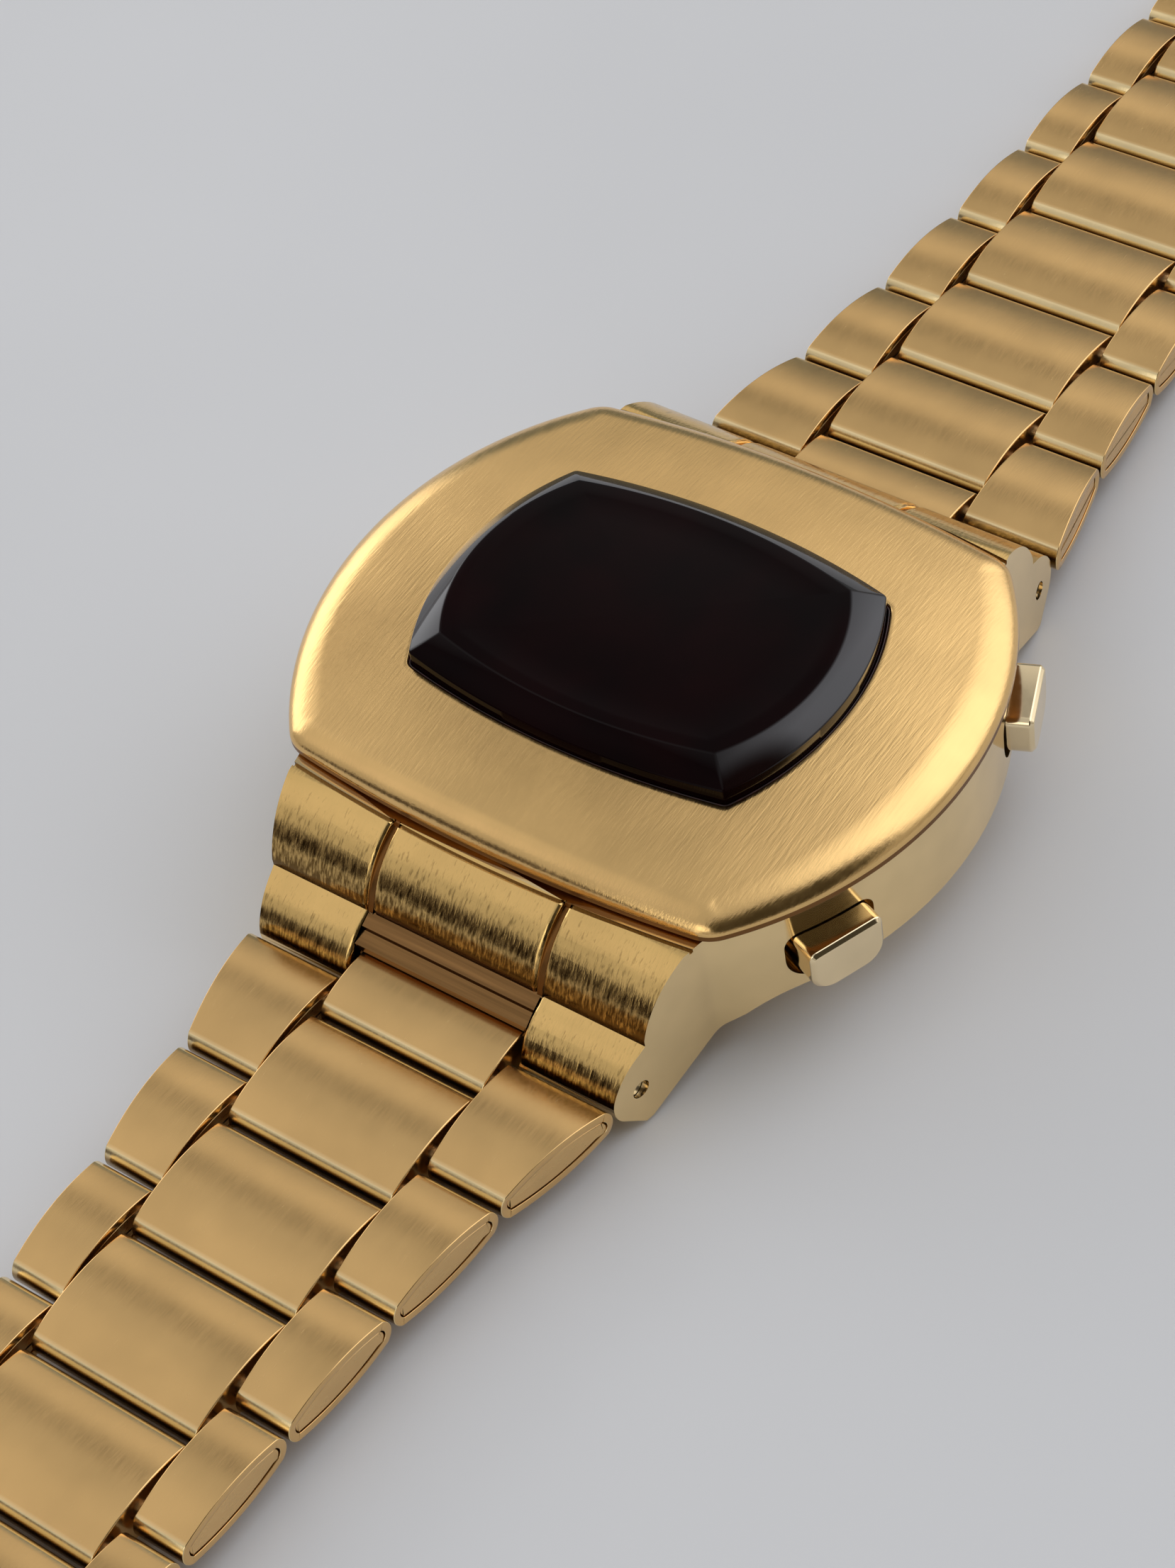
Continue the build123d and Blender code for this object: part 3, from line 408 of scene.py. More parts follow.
def loft(rings: list, closed: bool = True) -> Part:
    """Join rings of points by quads.

    Args:
        rings: (N, 3) arrays of one length.
        closed: Whether the last ring joins the first.

    Returns:
        (vertices, faces).
    """
    count, around = len(rings), len(rings[0])
    faces = []
    for r in range(count if closed else count - 1):
        low, high = r * around, (r + 1) % count * around
        for i in range(around):
            j = (i + 1) % around
            faces.append((low + i, low + j, high + j, high + i))
    return np.concatenate(rings), faces


def outward(points: np.ndarray) -> np.ndarray:
    """A closed anticlockwise loop's unit outward normals, from central differences."""
    normal = (np.roll(points, -1, 0) - np.roll(points, 1, 0))[:, ::-1] * (1, -1)
    return normal / np.linalg.norm(normal, axis=1, keepdims=True)


def sharpen(obj: Object, angle: float = 40.0) -> Object:
    """Keep edges over an angle crisp in shading and let flat faces set the normals.

    Args:
        obj: The mesh object.
        angle: The angle, in degrees.

    Returns:
        The same object.
    """
    limit = math.radians(angle)
    with editing(obj.data) as bm:
        for edge in bm.edges:
            edge.smooth = len(edge.link_faces) != 2 or edge.calc_face_angle(0) < limit
    weigh = obj.modifiers.new("weigh", "WEIGHTED_NORMAL")
    weigh.keep_sharp = True
    weigh.weight = FACE_WEIGHT
    return obj


class Graph:
    """A node tree while it is written."""

    def __init__(self, tree: NodeTree) -> None:
        """Empty a tree and start it with its coordinates.

        Args:
            tree: The tree.
        """
        self.tree = tree
        tree.nodes.clear()
        self.place = self.add("TexCoord")

    def feed(self, node: Node, inputs: dict) -> None:
        """Give a node its inputs.

        Args:
            node: The node.
            inputs: For each input's name or number, a socket to link or a value to set.
        """
        for key, value in inputs.items():
            if isinstance(value, NodeSocket):
                self.tree.links.new(value, node.inputs[key])
            else:
                node.inputs[key].default_value = value

    def add(self, kind: str, inputs: dict | None = None, **settings: str) -> Node:
        """Add a node.

        Args:
            kind: Its type, without the word ShaderNode.
            inputs: Its inputs, as for feed.
            **settings: Its own settings.

        Returns:
            The node.
        """
        node = self.tree.nodes.new("ShaderNode" + kind)
        for key, value in settings.items():
            setattr(node, key, value)
        self.feed(node, inputs or {})
        return node

    def mix(
        self, a: tuple | NodeSocket, b: tuple | NodeSocket,
        fac: float | NodeSocket, blend: str = "MIX",
    ) -> NodeSocket:
        """Mix two colours.

        Args:
            a: RGB, or a colour socket.
            b: The same.
            fac: The share of b.
            blend: How b lies on a.

        Returns:
            The mixed colour socket.
        """
        a, b = (c if isinstance(c, NodeSocket) else (*c, 1) for c in (a, b))
        settings = {"data_type": "RGBA", "blend_type": blend}
        return self.add("Mix", {"A": a, "B": b, "Factor": fac}, **settings).outputs["Result"]

    def ramp(self, fac: NodeSocket, stops: tuple) -> NodeSocket:
        """Colour a value by a ramp.

        Args:
            fac: The value.
            stops: (position, RGB) pairs in order.

        Returns:
            The colour socket.
        """
        node = self.add("ValToRGB", {"Fac": fac})
        first, *middle, last = stops
        for held, (position, colour) in zip(node.color_ramp.elements, (first, last)):
            held.position, held.color = position, (*colour, 1)
        for position, colour in middle:
            node.color_ramp.elements.new(position).color = (*colour, 1)
        return node.outputs["Color"]


class Recipe(Graph):
    """A material while it is written, over patterns in object coordinates."""

    def __init__(self, name: str) -> None:
        """Start a material.

        Args:
            name: Its name.
        """
        self.material = bpy.data.materials.new(name)
        self.material.use_nodes = True
        super().__init__(self.material.node_tree)
        self.shader = self.add("BsdfPrincipled")
        self.add("OutputMaterial", {"Surface": self.shader.outputs["BSDF"]})

    def finished(self, inputs: dict) -> Material:
        """Give the shader its inputs and hand out the material."""
        self.feed(self.shader, inputs)
        return self.material

    def noise(self, cells: tuple | float, detail: float = 2.0, rough: float = 0.5) -> NodeSocket:
        """Lay noise over object space.

        Args:
            cells: Cells per metre, for all the axes or for each.
            detail: Octaves.
            rough: How much each octave keeps of the one before.

        Returns:
            The noise's socket.
        """
        scale = cells if isinstance(cells, tuple) else (cells,) * 3
        inputs = {"Vector": self.place.outputs["Object"], "Scale": scale}
        cells = self.add("Mapping", inputs).outputs["Vector"]
        inputs = {"Vector": cells, "Scale": 1.0, "Detail": detail, "Roughness": rough}
        return self.add("TexNoise", inputs).outputs["Fac"]

    def spread(
        self, fac: NodeSocket, low: float, high: float, start: float = 0.3, end: float = 0.7
    ) -> NodeSocket:
        """Map a value from start..end onto low..high."""
        inputs = {"Value": fac, "From Min": start, "From Max": end, "To Min": low, "To Max": high}
        return self.add("MapRange", inputs).outputs["Result"]

    def calc(self, operation: str, *values: float | NodeSocket) -> NodeSocket:
        """The result of a Math node on up to three values."""
        node = self.add("Math", dict(enumerate(values)), operation=operation)
        return node.outputs["Value"]

    def facing(self, axis: str) -> NodeSocket:
        """How far a face looks along an object axis, -1 to 1."""
        normal = self.place.outputs["Normal"]
        return self.add("SeparateXYZ", {"Vector": normal}).outputs[axis]

    def bump(self, height: NodeSocket, depth: float, **more: float | NodeSocket) -> NodeSocket:
        """Raise a surface by a height of 0 to 1, which stands for a depth in metres."""
        inputs = {"Height": height, "Distance": depth, **more}
        return self.add("Bump", inputs).outputs["Normal"]

    def metal(self, look: MetalLook) -> Material:
        """Write a brushed or polished metal.

        Args:
            look: Its numbers.

        Returns:
            The material.
        """
        fine = self.noise(look.grain, detail=3.0, rough=0.6)
        coarse = self.noise(tuple(g / COARSE_DIVISOR for g in look.grain))
        low, high = look.mottle or CLOUD_SHARES
        pattern = fine if look.mottle else self.noise(CLOUD_CELLS)
        colour = self.mix(
            tuple(c * low for c in look.colour), tuple(min(c * high, 1) for c in look.colour),
            self.spread(pattern, 0, 1),
        )
        # Painted shade: darker colour on faces that lean sideways or down.
        if look.shade_keeps < 1:
            colour = self.with_painted_shade(colour, fine, look)
        # Painted highlight on rolled edges, and painted shade in the gaps between links.
        if look.painted_edge_light:
            rolled = self.ramp(self.calc("ABSOLUTE", self.facing("Y")), ROLL_STOPS)
            colour = self.mix(colour, rolled, 1.0, "MULTIPLY")
        low, high = look.roughness - look.spread / 2, look.roughness + look.spread / 2
        swing = look.spread / PATCH_DIVISOR
        patch = self.spread(coarse, -swing, swing)
        normal = self.bump(self.calc("MULTIPLY_ADD", coarse, COARSE_HEIGHT, fine), look.depth)
        if look.pits:
            pits = self.noise(PIT_CELLS, detail=4.0, rough=0.7)
            cells = self.spread(pits, 0, 1, *PIT_RANGE)
            normal = self.bump(cells, PIT_DEPTH, Strength=look.pits, Normal=normal)
        return self.finished({
            "Metallic": 1.0,
            "Base Color": colour,
            "Roughness": self.calc("ADD", self.spread(fine, low, high), patch),
            "Normal": normal,
        })

    def with_painted_shade(self, colour: NodeSocket, streaks: NodeSocket, look: MetalLook) -> NodeSocket:
        """Paint shade into a colour towards faces that lean sideways or down, with a ragged
        brushed border.

        Args:
            colour: The colour before the painted shade.
            streaks: The grain, which makes the border ragged.
            look: The metal's numbers.

        Returns:
            The colour's socket, with painted shade.
        """
        shade_colour = tuple(c * look.shade_keeps * s for c, s in zip(look.colour, SHADE_SHARES))
        border = self.spread(streaks, -SHADE_RAGGED, SHADE_RAGGED)
        lean = self.calc("ADD", self.facing("Z"), border)
        return self.mix(shade_colour, colour, self.spread(lean, 0, 1, *SHADE_RANGE))

    def crystal(self) -> Material:
        """Write almost black filter plastic, deep red inside, with faint dust.

        Returns:
            The material.
        """
        cloud = self.spread(self.noise(CRYSTAL_CELLS), 0, 1)
        sheen = self.spread(self.facing("Z"), *TOP_GLOSS)
        shade = self.spread(self.facing("Y"), *SIDE_GLOSS)
        return self.finished({
            "Base Color": self.mix(CRYSTAL_LOW, CRYSTAL_HIGH, cloud),
            "Roughness": self.spread(self.noise(DUST_CELLS, detail=3.0), *DUST_ROUGHNESS),
            "IOR": CRYSTAL_IOR,
            "Specular IOR Level": self.calc("MULTIPLY", sheen, shade),
        })

    def mottled(self, look: MottleLook) -> Material:
        """Write a dielectric whose colour and roughness drift together.

        Args:
            look: Its numbers.

        Returns:
            The material.
        """
        cloud = self.noise(look.cells, detail=4.0)
        low, high = look.roughness - MOTTLE_SWING, look.roughness + MOTTLE_SWING
        return self.finished({
            "Base Color": self.mix(look.low, look.high, self.spread(cloud, 0, 1)),
            "Roughness": self.spread(cloud, low, high),
            "Normal": self.bump(cloud, look.depth),
        })


@cache
def material_for(finish: Finish) -> Material:
    """Write a finish's material, the first time that it is asked for.

    Args:
        finish: Which finish.

    Returns:
        The one material with that finish.
    """
    recipe = Recipe(finish.value)
    if finish in METALS:
        return recipe.metal(METALS[finish])
    return recipe.mottled(MOTTLES[finish]) if finish in MOTTLES else recipe.crystal()


def dress(obj: Object, *finishes: Finish) -> None:
    """Give an object a material slot for each finish, in order."""
    for finish in finishes:
        obj.data.materials.append(material_for(finish))


@dataclass
class Piece:
    """A visible piece and what it stands for."""

    obj: Object
    body: str  # The CAD body that it rides on.
    slot: str  # The record's material slot.
    finish: Finish
    stands_for: tuple = ()  # CAD nodes that it replaces.

    def place(self) -> None:
        """Give the piece its material and body, and hide the CAD nodes that it stands for."""
        if not self.obj.data.materials:
            dress(self.obj, self.finish)
        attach(self.obj, self.body)
        if self.stands_for:
            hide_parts(*self.stands_for)


@dataclass(frozen=True)
class TopShell:
    """The domed upper shell as one swept surface, and the bead between it and the crystal."""

    sizes: CaseSizes = CASE

    LIP_STEPS = 5
    DOME_STEPS = 26
    ROLL_STEPS = 30
    BEAD_STEPS = 7
    WALL_FACING = 0.1  # Largest share of Z in a wall's normal.
    SHARP_ANGLE = 50

    def height(self, xy: np.ndarray) -> np.ndarray:
        """The dome over (N, 2) points: z = seam + crown - x^2 / 2Rx - y^2 / 2Ry."""
        s, (x, y) = self.sizes, xy.T
        return s.shell_z + s.shell_crown - x ** 2 / (2 * s.dome_x) - y ** 2 / (2 * s.dome_y)

    def build(self) -> Object:
        """Sweep the section round the shell.

        Rings run up the opening's wall, over a small lip, out along the dome between the two
        outlines, and round the outer roll: out by a sin f and down from the dome by
        b (1 - cos f), b being the dome's height above the lip at the rim. The roll's width a
        goes with the square of the outward direction's Y. A thin skirt hangs below it.

        Returns:
            The shell's mesh object.
        """
        s, lip = self.sizes, self.sizes.opening_lip
        hole = s.crystal.grown(s.opening_gap, s.opening_corner).loop()
        rim = s.shell.loop()
        out_hole, out_rim = outward(hole), outward(rim)
        top = self.height(hole)
        rings = [at_height(hole, s.shell_z)]
        for f in np.linspace(0, QUARTER_TURN, self.LIP_STEPS):
            xy = hole + out_hole * lip * (1 - math.cos(f))
            rings.append(at_height(xy, top - lip * (1 - math.sin(f))))
        start = hole + out_hole * lip
        roll = s.shell_edge + (s.shell_edge_ends - s.shell_edge) * out_rim[:, 1:] ** 2
        inner = rim - out_rim * roll
        for t in np.linspace(0, 1, self.DOME_STEPS)[1:]:
            xy = start * (1 - t) + inner * t
            rings.append(at_height(xy, self.height(xy)))
        drop = self.height(rim) - s.shell_z - s.shell_lip
        for f in np.linspace(0, QUARTER_TURN, self.ROLL_STEPS)[1:]:
            xy = inner + out_rim * roll * math.sin(f)
            rings.append(at_height(xy, self.height(xy) - drop * (1 - math.cos(f))))
        skirt = (
            (0, s.shell_foot + s.foot_rise), (s.foot_round, s.shell_foot),
            (s.skirt, s.shell_foot), (s.skirt, s.shell_z),
        )
        rings += [at_height(rim - out_rim * inward, z) for inward, z in skirt]
        obj = make_object("shell_dome", *loft(rings))
        # The skirt and the opening's wall get the dark finish: painted shade.
        dress(obj, Finish.SHELL, Finish.SHADED_RECESS)
        for face in obj.data.polygons:
            face.material_index = int(self.gets_painted_shade(face))
        return sharpen(obj, self.SHARP_ANGLE)

    def bead(self) -> Object:
        """Sweep a dark bead round the crystal, its top following the dome at a small depth.

        The bead's top is z = dome - depth + swell sin(pi t), t running from the crystal's wall
        to the shell's.

        Returns:
            The bead's mesh object.
        """
        s = self.sizes
        inner = s.crystal.grown(s.bead_gap, s.crystal.radius + s.bead_gap).loop()
        outer = s.crystal.grown(s.opening_gap - s.bead_gap, s.opening_corner).loop()
        rings = [at_height(inner, s.crystal_z)]
        for t in np.linspace(0, 1, self.BEAD_STEPS):
            xy = inner * (1 - t) + outer * t
            sunk = s.bead_depth - s.bead_swell * math.sin(math.pi * t)
            rings.append(at_height(xy, self.height(xy) - sunk))
        rings.append(at_height(outer, s.crystal_z))
        return make_object("seal_lip", *loft(rings))

    def gets_painted_shade(self, face: MeshPolygon) -> bool:
        """Find whether a face is on the skirt or on the wall of the crystal's opening.

        Args:
            face: A face of the shell.

        Returns:
            Whether it gets the dark finish that paints shade there.
        """
        s, hole = self.sizes, self.sizes.crystal
        x, y, z = np.abs(face.center) / MM
        in_x = x < hole.corner_x + hole.bulge_x + s.opening_reach
        in_y = y < hole.corner_y + hole.bulge_y + s.opening_reach
        on_wall = abs(face.normal.z) < self.WALL_FACING and in_x and in_y
        return bool(z < s.shell_z + s.shell_lip - s.lip_margin or on_wall)


@dataclass(frozen=True)
class Crystal:
    """The bevelled crystal with softly ground edges."""

    sizes: CaseSizes = CASE

    TOP_SHARES = (0.9, 0.7, 0.45, 0.2)  # The top's rings, as shares of its rim.
    LOW_BULGE = (0.35, 0.2)  # How far in and down the lower edge bulges, in edge widths.
    HIGH_BULGE = (0.1, 0.22)  # How far out and down the upper one does.
    BEVEL_START = 0.75  # Share of the bevel's own rise at its first point.
    SHARP_ANGLE = 24

    def section(self) -> list:
        """Lay out the wall, the bevel and the two ground edges between them.

        Each ground edge is a chamfer of width e with one point on its bulge.

        Returns:
            (growth, height) pairs in millimetres, from the foot to the rim of the top.
        """
        s, e = self.sizes, self.sizes.ground_edge
        edge_z = s.crystal_z + s.crystal_wall
        top_z, slope = edge_z + s.bevel_height, s.bevel_height / s.bevel_width
        (low_in, low_down), (high_out, high_down) = self.LOW_BULGE, self.HIGH_BULGE
        return [
            (0.0, s.crystal_z),
            (0.0, edge_z - e),
            (-e * low_in, edge_z - e * low_down),
            (-e, edge_z + e * slope * self.BEVEL_START),
            (-s.bevel_width + e, top_z - e * slope),
            (-s.bevel_width + e * high_out, top_z - e * high_down),
            (-s.bevel_width - e, top_z - s.rim_drop),
        ]

    def build(self) -> Object:
        """Stack rings up the section and in across the slightly domed top.

        Inside its rim the top lies top_rise t^2 below its middle, t being 1 at the rim.

        Returns:
            The crystal's mesh object.
        """
        s = self.sizes
        rings = []
        for grow, z in self.section():
            corner = max(s.crystal.radius + grow * s.corner_share, s.least_corner)
            rings.append(at_height(s.crystal.grown(grow, corner).loop(), z))
        rim = rings[-1][:, :2]
        top_z = s.crystal_z + s.crystal_wall + s.bevel_height
        rings += [at_height(rim * t, top_z - s.top_rise * t * t) for t in self.TOP_SHARES]
        verts, faces = loft(rings, closed=False)
        around, centre = len(rim), len(verts)
        low = centre - around
        verts = np.vstack([verts, (0, 0, top_z)])
        faces += [(low + i, low + (i + 1) % around, centre) for i in range(around)]
        faces.append(tuple(reversed(range(around))))
        return sharpen(make_object("crystal_block", verts, faces), self.SHARP_ANGLE)


@dataclass(frozen=True)
class LinkShape:
    """The side profile shared by every link, and the solids swept from it."""

    sizes: StrapSizes = STRAP

    CAP_STEPS = 5
    BAND_STEPS = 4
    CREST_POINTS = 30
    FOOT_POINTS = 22
    END_POINTS = 16

    @staticmethod
    def arc(a: tuple, m: tuple, b: tuple, count: int) -> np.ndarray:
        """Sample the circle through three points, taken as complex numbers.

        With w = (b - a) / (m - a), its centre is a + (m - a) (w - |w|^2) / (w - conj w).

        Args:
            a: Where the arc starts.
            m: A point on the way.
            b: Where it ends.
            count: How many points, the last one short of b.

        Returns:
            A (count, 2) array.
        """
        a, m, b = (complex(*point) for point in (a, m, b))
        w = (b - a) / (m - a)
        centre = a + (m - a) * (w - abs(w) ** 2) / (w - w.conjugate())
        first, via, last = np.angle(np.array([a, m, b]) - centre)
        turn = (last - first) % math.tau
        if (via - first) % math.tau > turn:
            turn -= math.tau
        points = centre + (a - centre) * np.exp(1j * turn * np.arange(count) / count)
        return np.column_stack([points.real, points.imag])

    def profile(self, start: float, end: float, share: float = 1.0) -> np.ndarray:
        """Draw the link's closed outline in (y, z), anticlockwise, from four arcs.

        Args:
            start: Where the link starts along the strap, in millimetres.
            end: Where it ends.
            share: How much of the full crown it has.

        Returns:
            An (N, 2) array of points.
        """
        s = self.sizes
        z, mid = s.bar_z, (start + end) / 2
        low, high = start + s.shoulder, end - s.shoulder
        top, foot = z + s.crest, z - s.heel
        return np.concatenate([
            self.arc((low, foot), (mid, z - s.foot * share), (high, foot), self.FOOT_POINTS),
            self.arc((high, foot), (end, z), (high, top), self.END_POINTS),
            self.arc((high, top), (mid, z + s.top * share), (low, top), self.CREST_POINTS),
            self.arc((low, top), (start, z), (low, foot), self.END_POINTS),
        ])

    @staticmethod
    def inset(points: np.ndarray, by: float) -> np.ndarray:
        """Move a profile inwards along its normals."""
        return points - outward(points) * by

    def rounding(
        self, profile: np.ndarray, side: Reach, soft: float, turns: np.ndarray, depth: float = 0.0
    ) -> list:
        """Round one side edge of a sweep.

        The ring at angle f lies soft (1 - cos f) along X from the side and |soft| (1 - sin f) in
        from the profile, or depth - |soft| (1 - sin f) in where there is a depth.

        Args:
            profile: Closed (y, z) outline.
            side: X of the side.
            soft: Radius of the edge, positive on the side that faces -X.
            turns: The angles, in order.
            depth: How far in from the profile the swept face lies.

        Returns:
            The rings.
        """
        inward = -abs(soft) if depth else abs(soft)
        rings = []
        for f in turns:
            ring = self.inset(profile, depth + inward * (1 - math.sin(f)))
            x = np.broadcast_to(side + soft * (1 - math.cos(f)), len(ring))
            rings.append(np.column_stack([x, ring]))
        return rings

    def slab(self, profile: np.ndarray, low: Reach, high: Reach, soft: float) -> Part:
        """Sweep a solid across the watch, with softly rounded side edges.

        Args:
            profile: Closed (y, z) outline.
            low: X of the side at lower X.
            high: X of the other side.
            soft: Radius of the side edges.

        Returns:
            (vertices, faces).
        """
        turns = np.linspace(0, QUARTER_TURN, self.CAP_STEPS)
        rings = self.rounding(profile, low, soft, turns)
        rings += self.rounding(profile, high, -soft, turns[::-1])
        verts, faces = loft(rings, closed=False)
        n, total = len(profile), len(verts)
        return verts, faces + [tuple(reversed(range(n))), tuple(range(total - n, total))]

    def middle(self, start: float, end: float, share: float = 1.0) -> Part:
        """Sweep a link of the middle column, from start to end along the strap."""
        half, profile = self.sizes.centre_half, self.profile(start, end, share)
        return self.slab(profile, -half, half, self.sizes.centre_soft)

    def sleeve(self, profile: np.ndarray, low: float, high: np.ndarray) -> Part:
        """Sweep a folded band: the profile's skin, open at both sides.

        Args:
            profile: Closed (y, z) outline.
            low: X of the inner side.
            high: X of the outer side for each point.

        Returns:
            (vertices, faces).
        """
        wall, soft = self.sizes.rim, self.sizes.rim_soft
        turns = np.linspace(0, QUARTER_TURN, self.BAND_STEPS)
        rings = self.rounding(profile, low, soft, turns)
        rings += self.rounding(profile, high, -soft, turns[::-1])
        rings += self.rounding(profile, high, -soft / 2, turns, wall)
        inside = self.inset(profile, wall)
        rings.append(np.column_stack([np.full(len(inside), low), inside]))
        return loft(rings)


def merge(parts: list) -> Part:
    """Join parts into one.

    Args:
        parts: (vertices, faces) parts.

    Returns:
        The joined part.
    """
    verts, faces, base = [], [], 0
    for v, f in parts:
        verts.append(v)
        faces += [tuple(i + base for i in face) for face in f]
        base += len(v)
    return np.concatenate(verts), faces


def mirrored(part: Part, axis: int) -> Part:
    """Mirror a part along an axis, 0 for X or 1 for Y, and turn its faces over."""
    verts = part[0] * np.where(np.arange(3) == axis, -1, 1)
    return verts, [tuple(reversed(f)) for f in part[1]]


@dataclass(frozen=True)
class StrapHalf:
    """One bracelet half, link by link, on the CAD's bodies. Rows count from 1 at the case."""

    end: str  # "12h" or "6h".
    sizes: StrapSizes = STRAP
    shape: LinkShape = LinkShape()

    PIN_SIDES = 24

    def settle(self, part: Part) -> Part:
        """Put a part that was built level at +Y where the half rests.

        Args:
            part: (vertices, faces).

        Returns:
            The placed part.
        """
        if self.end == "6h":
            return mirrored(part, 1)
        s = self.sizes
        verts = part[0].copy()
        y, z = verts[:, 1] - s.bar_y, verts[:, 2] - s.bar_z
        c, n = math.cos(s.tilt), math.sin(s.tilt)
        verts[:, 1], verts[:, 2] = s.bar_y + y * c - z * n, s.bar_z + y * n + z * c
        return verts, part[1]

    def piece(self, name: str, part: Part, body: str, finish: Finish, *nodes: str) -> Piece:
        """Make a piece of a part that was built level at +Y, in place of some CAD nodes."""
        obj = sharpen(make_object(name, *self.settle(part)))
        return Piece(obj, body, "gold_bracelet", finish, nodes)

    def outer(self, row: int) -> list[Piece]:
        """Make a row's folded bands and their fillers.

        Args:
            row: The row's number.

        Returns:
            Two pieces.
        """
        s, name = self.sizes, f"{self.end}_{row}"
        start = s.first_hinge + (row - 1) * s.pitch - s.inset
        ends = np.array([start, start + s.length])
        profile = self.shape.profile(*ends)
        high = np.interp(profile[:, 0], ends, s.half_width(ends))
        band = self.shape.sleeve(profile, s.outer_inner, high)
        core = self.shape.inset(profile, s.rim + s.slit)
        soft = s.filler_soft
        filler = self.shape.slab(core, s.outer_inner + soft, high - soft, soft)
        band, filler = (merge([part, mirrored(part, 0)]) for part in (band, filler))
        return [
            self.piece(f"band_{name}", band, f"row_{name}", Finish.LINK, f"outer_links_{name}"),
            self.piece(f"filler_{name}", filler, f"row_{name}", Finish.LINK_SIDE),
        ]

    def centre(self, row: int) -> Piece:
        """Make a row's centre link.

        Args:
            row: The row's number.

        Returns:
            The piece.
        """
        s, name = self.sizes, f"{self.end}_{row}"
        far = s.first_hinge + row * s.pitch + s.inset
        part = self.shape.middle(far - s.length, far)
        return self.piece(
            f"centre_{name}", part, f"row_{name}", Finish.LINK, f"centre_link_{name}"
        )

    def end_link(self) -> Piece:
        """Make the link that swings on the case's spring bar.

        Returns:
            The piece.
        """
        s, node = self.sizes, f"end_link_{self.end}"
        part = self.shape.middle(s.bar_y - s.inset, s.first_hinge + s.inset, s.end_share)
        return self.piece(f"end_{self.end}", part, f"{node}_body", Finish.LINK, node)

    def pins(self, row: int) -> Piece:
        """Make a row's two pins, which show between links, as softly ended bars.

        Args:
            row: The row's number.

        Returns:
            The piece.
        """
        s, name = self.sizes, f"{self.end}_{row}"
        turn = np.linspace(0, math.tau, self.PIN_SIDES + 1)[:-1]
        circle = s.pin_radius * np.stack([np.cos(turn), np.sin(turn)], 1)
        reach = s.outer_inner + s.pin_reach
        hinge = s.first_hinge + (row - 1) * s.pitch
        bars = [
            self.shape.slab(np.array((y, s.bar_z)) + circle, -reach, reach, s.pin_soft)
            for y in (hinge, hinge - 2 * s.inset + s.length)
        ]
        return self.piece(f"pins_{name}", merge(bars), f"row_{name}", Finish.STEEL)


def build_bracelet() -> list[Piece]:
    """Make both halves of the bracelet.

    Returns:
        Its pieces, pins first.
    """
    halves, rows = (StrapHalf("12h"), StrapHalf("6h")), range(1, STRAP.rows + 1)
    pieces = [half.pins(row) for half in halves for row in rows]
    for half in halves:
        pieces.append(half.end_link())
        for row in rows:
            pieces += [*half.outer(row), half.centre(row)]
    return pieces


class Dressed:
    """A CAD solid's own mesh, cleaned and given soft edges."""

    JOIN = 2e-6  # Distance in metres under which the facets' corners are one.
    FLAT_ANGLE = 0.6  # Degrees under which facets become one face.
    BEVEL_ANGLE = 32  # Degrees over which an edge is bevelled.
    BEVEL_SEGMENTS = 3

    @staticmethod
    def copy(node: str, name: str) -> Object:
        """Copy a node's mesh and join its facets.

        Args:
            node: The CAD node.
            name: Name of the new object.

        Returns:
            The new object.
        """
        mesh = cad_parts[node].data.copy()
        mesh.name = name
        mesh.materials.clear()
        normals = mesh.attributes.get("custom_normal")
        if normals is not None:
            mesh.attributes.remove(normals)
        flat = math.radians(Dressed.FLAT_ANGLE)
        with editing(mesh) as bm:
            bmesh.ops.remove_doubles(bm, verts=bm.verts, dist=Dressed.JOIN)
            bmesh.ops.dissolve_limit(bm, angle_limit=flat, verts=bm.verts, edges=bm.edges)
            for face in bm.faces:
                face.smooth = True
                face.material_index = 0
        return add_object(name, mesh)

    @staticmethod
    def build(node: str, name: str, soft: float) -> Object:
        """Copy a node's mesh and bevel its edges.

        Args:
            node: The CAD node.
            name: Name of the new object.
            soft: Bevel width in millimetres.

        Returns:
            The new object.
        """
        obj = Dressed.copy(node, name)
        bevel = obj.modifiers.new("soften", "BEVEL")
        bevel.width = soft * MM
        bevel.segments = Dressed.BEVEL_SEGMENTS
        bevel.limit_method = "ANGLE"
        bevel.angle_limit = math.radians(Dressed.BEVEL_ANGLE)
        bevel.use_clamp_overlap = True
        bevel.harden_normals = True
        return obj


@dataclass(frozen=True)
class ReturnSpring:
    """A pusher's coil spring, which shortens as the pusher goes in."""

    side: str  # The pusher's hour, "2h" or "4h".

    def build(self) -> Piece:
        """Copy the coil, put it on the case and give it a mesh of its own.

        Returns:
            The coil's piece.
        """
        node, name = f"pusher_{self.side}_spring", f"pusher_{self.side}_press"
        obj = Dressed.copy(node, f"coil_{self.side}")
        piece = Piece(obj, "case", "steel_parts", Finish.STEEL, (node,))
        piece.place()
        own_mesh(obj)
        return piece


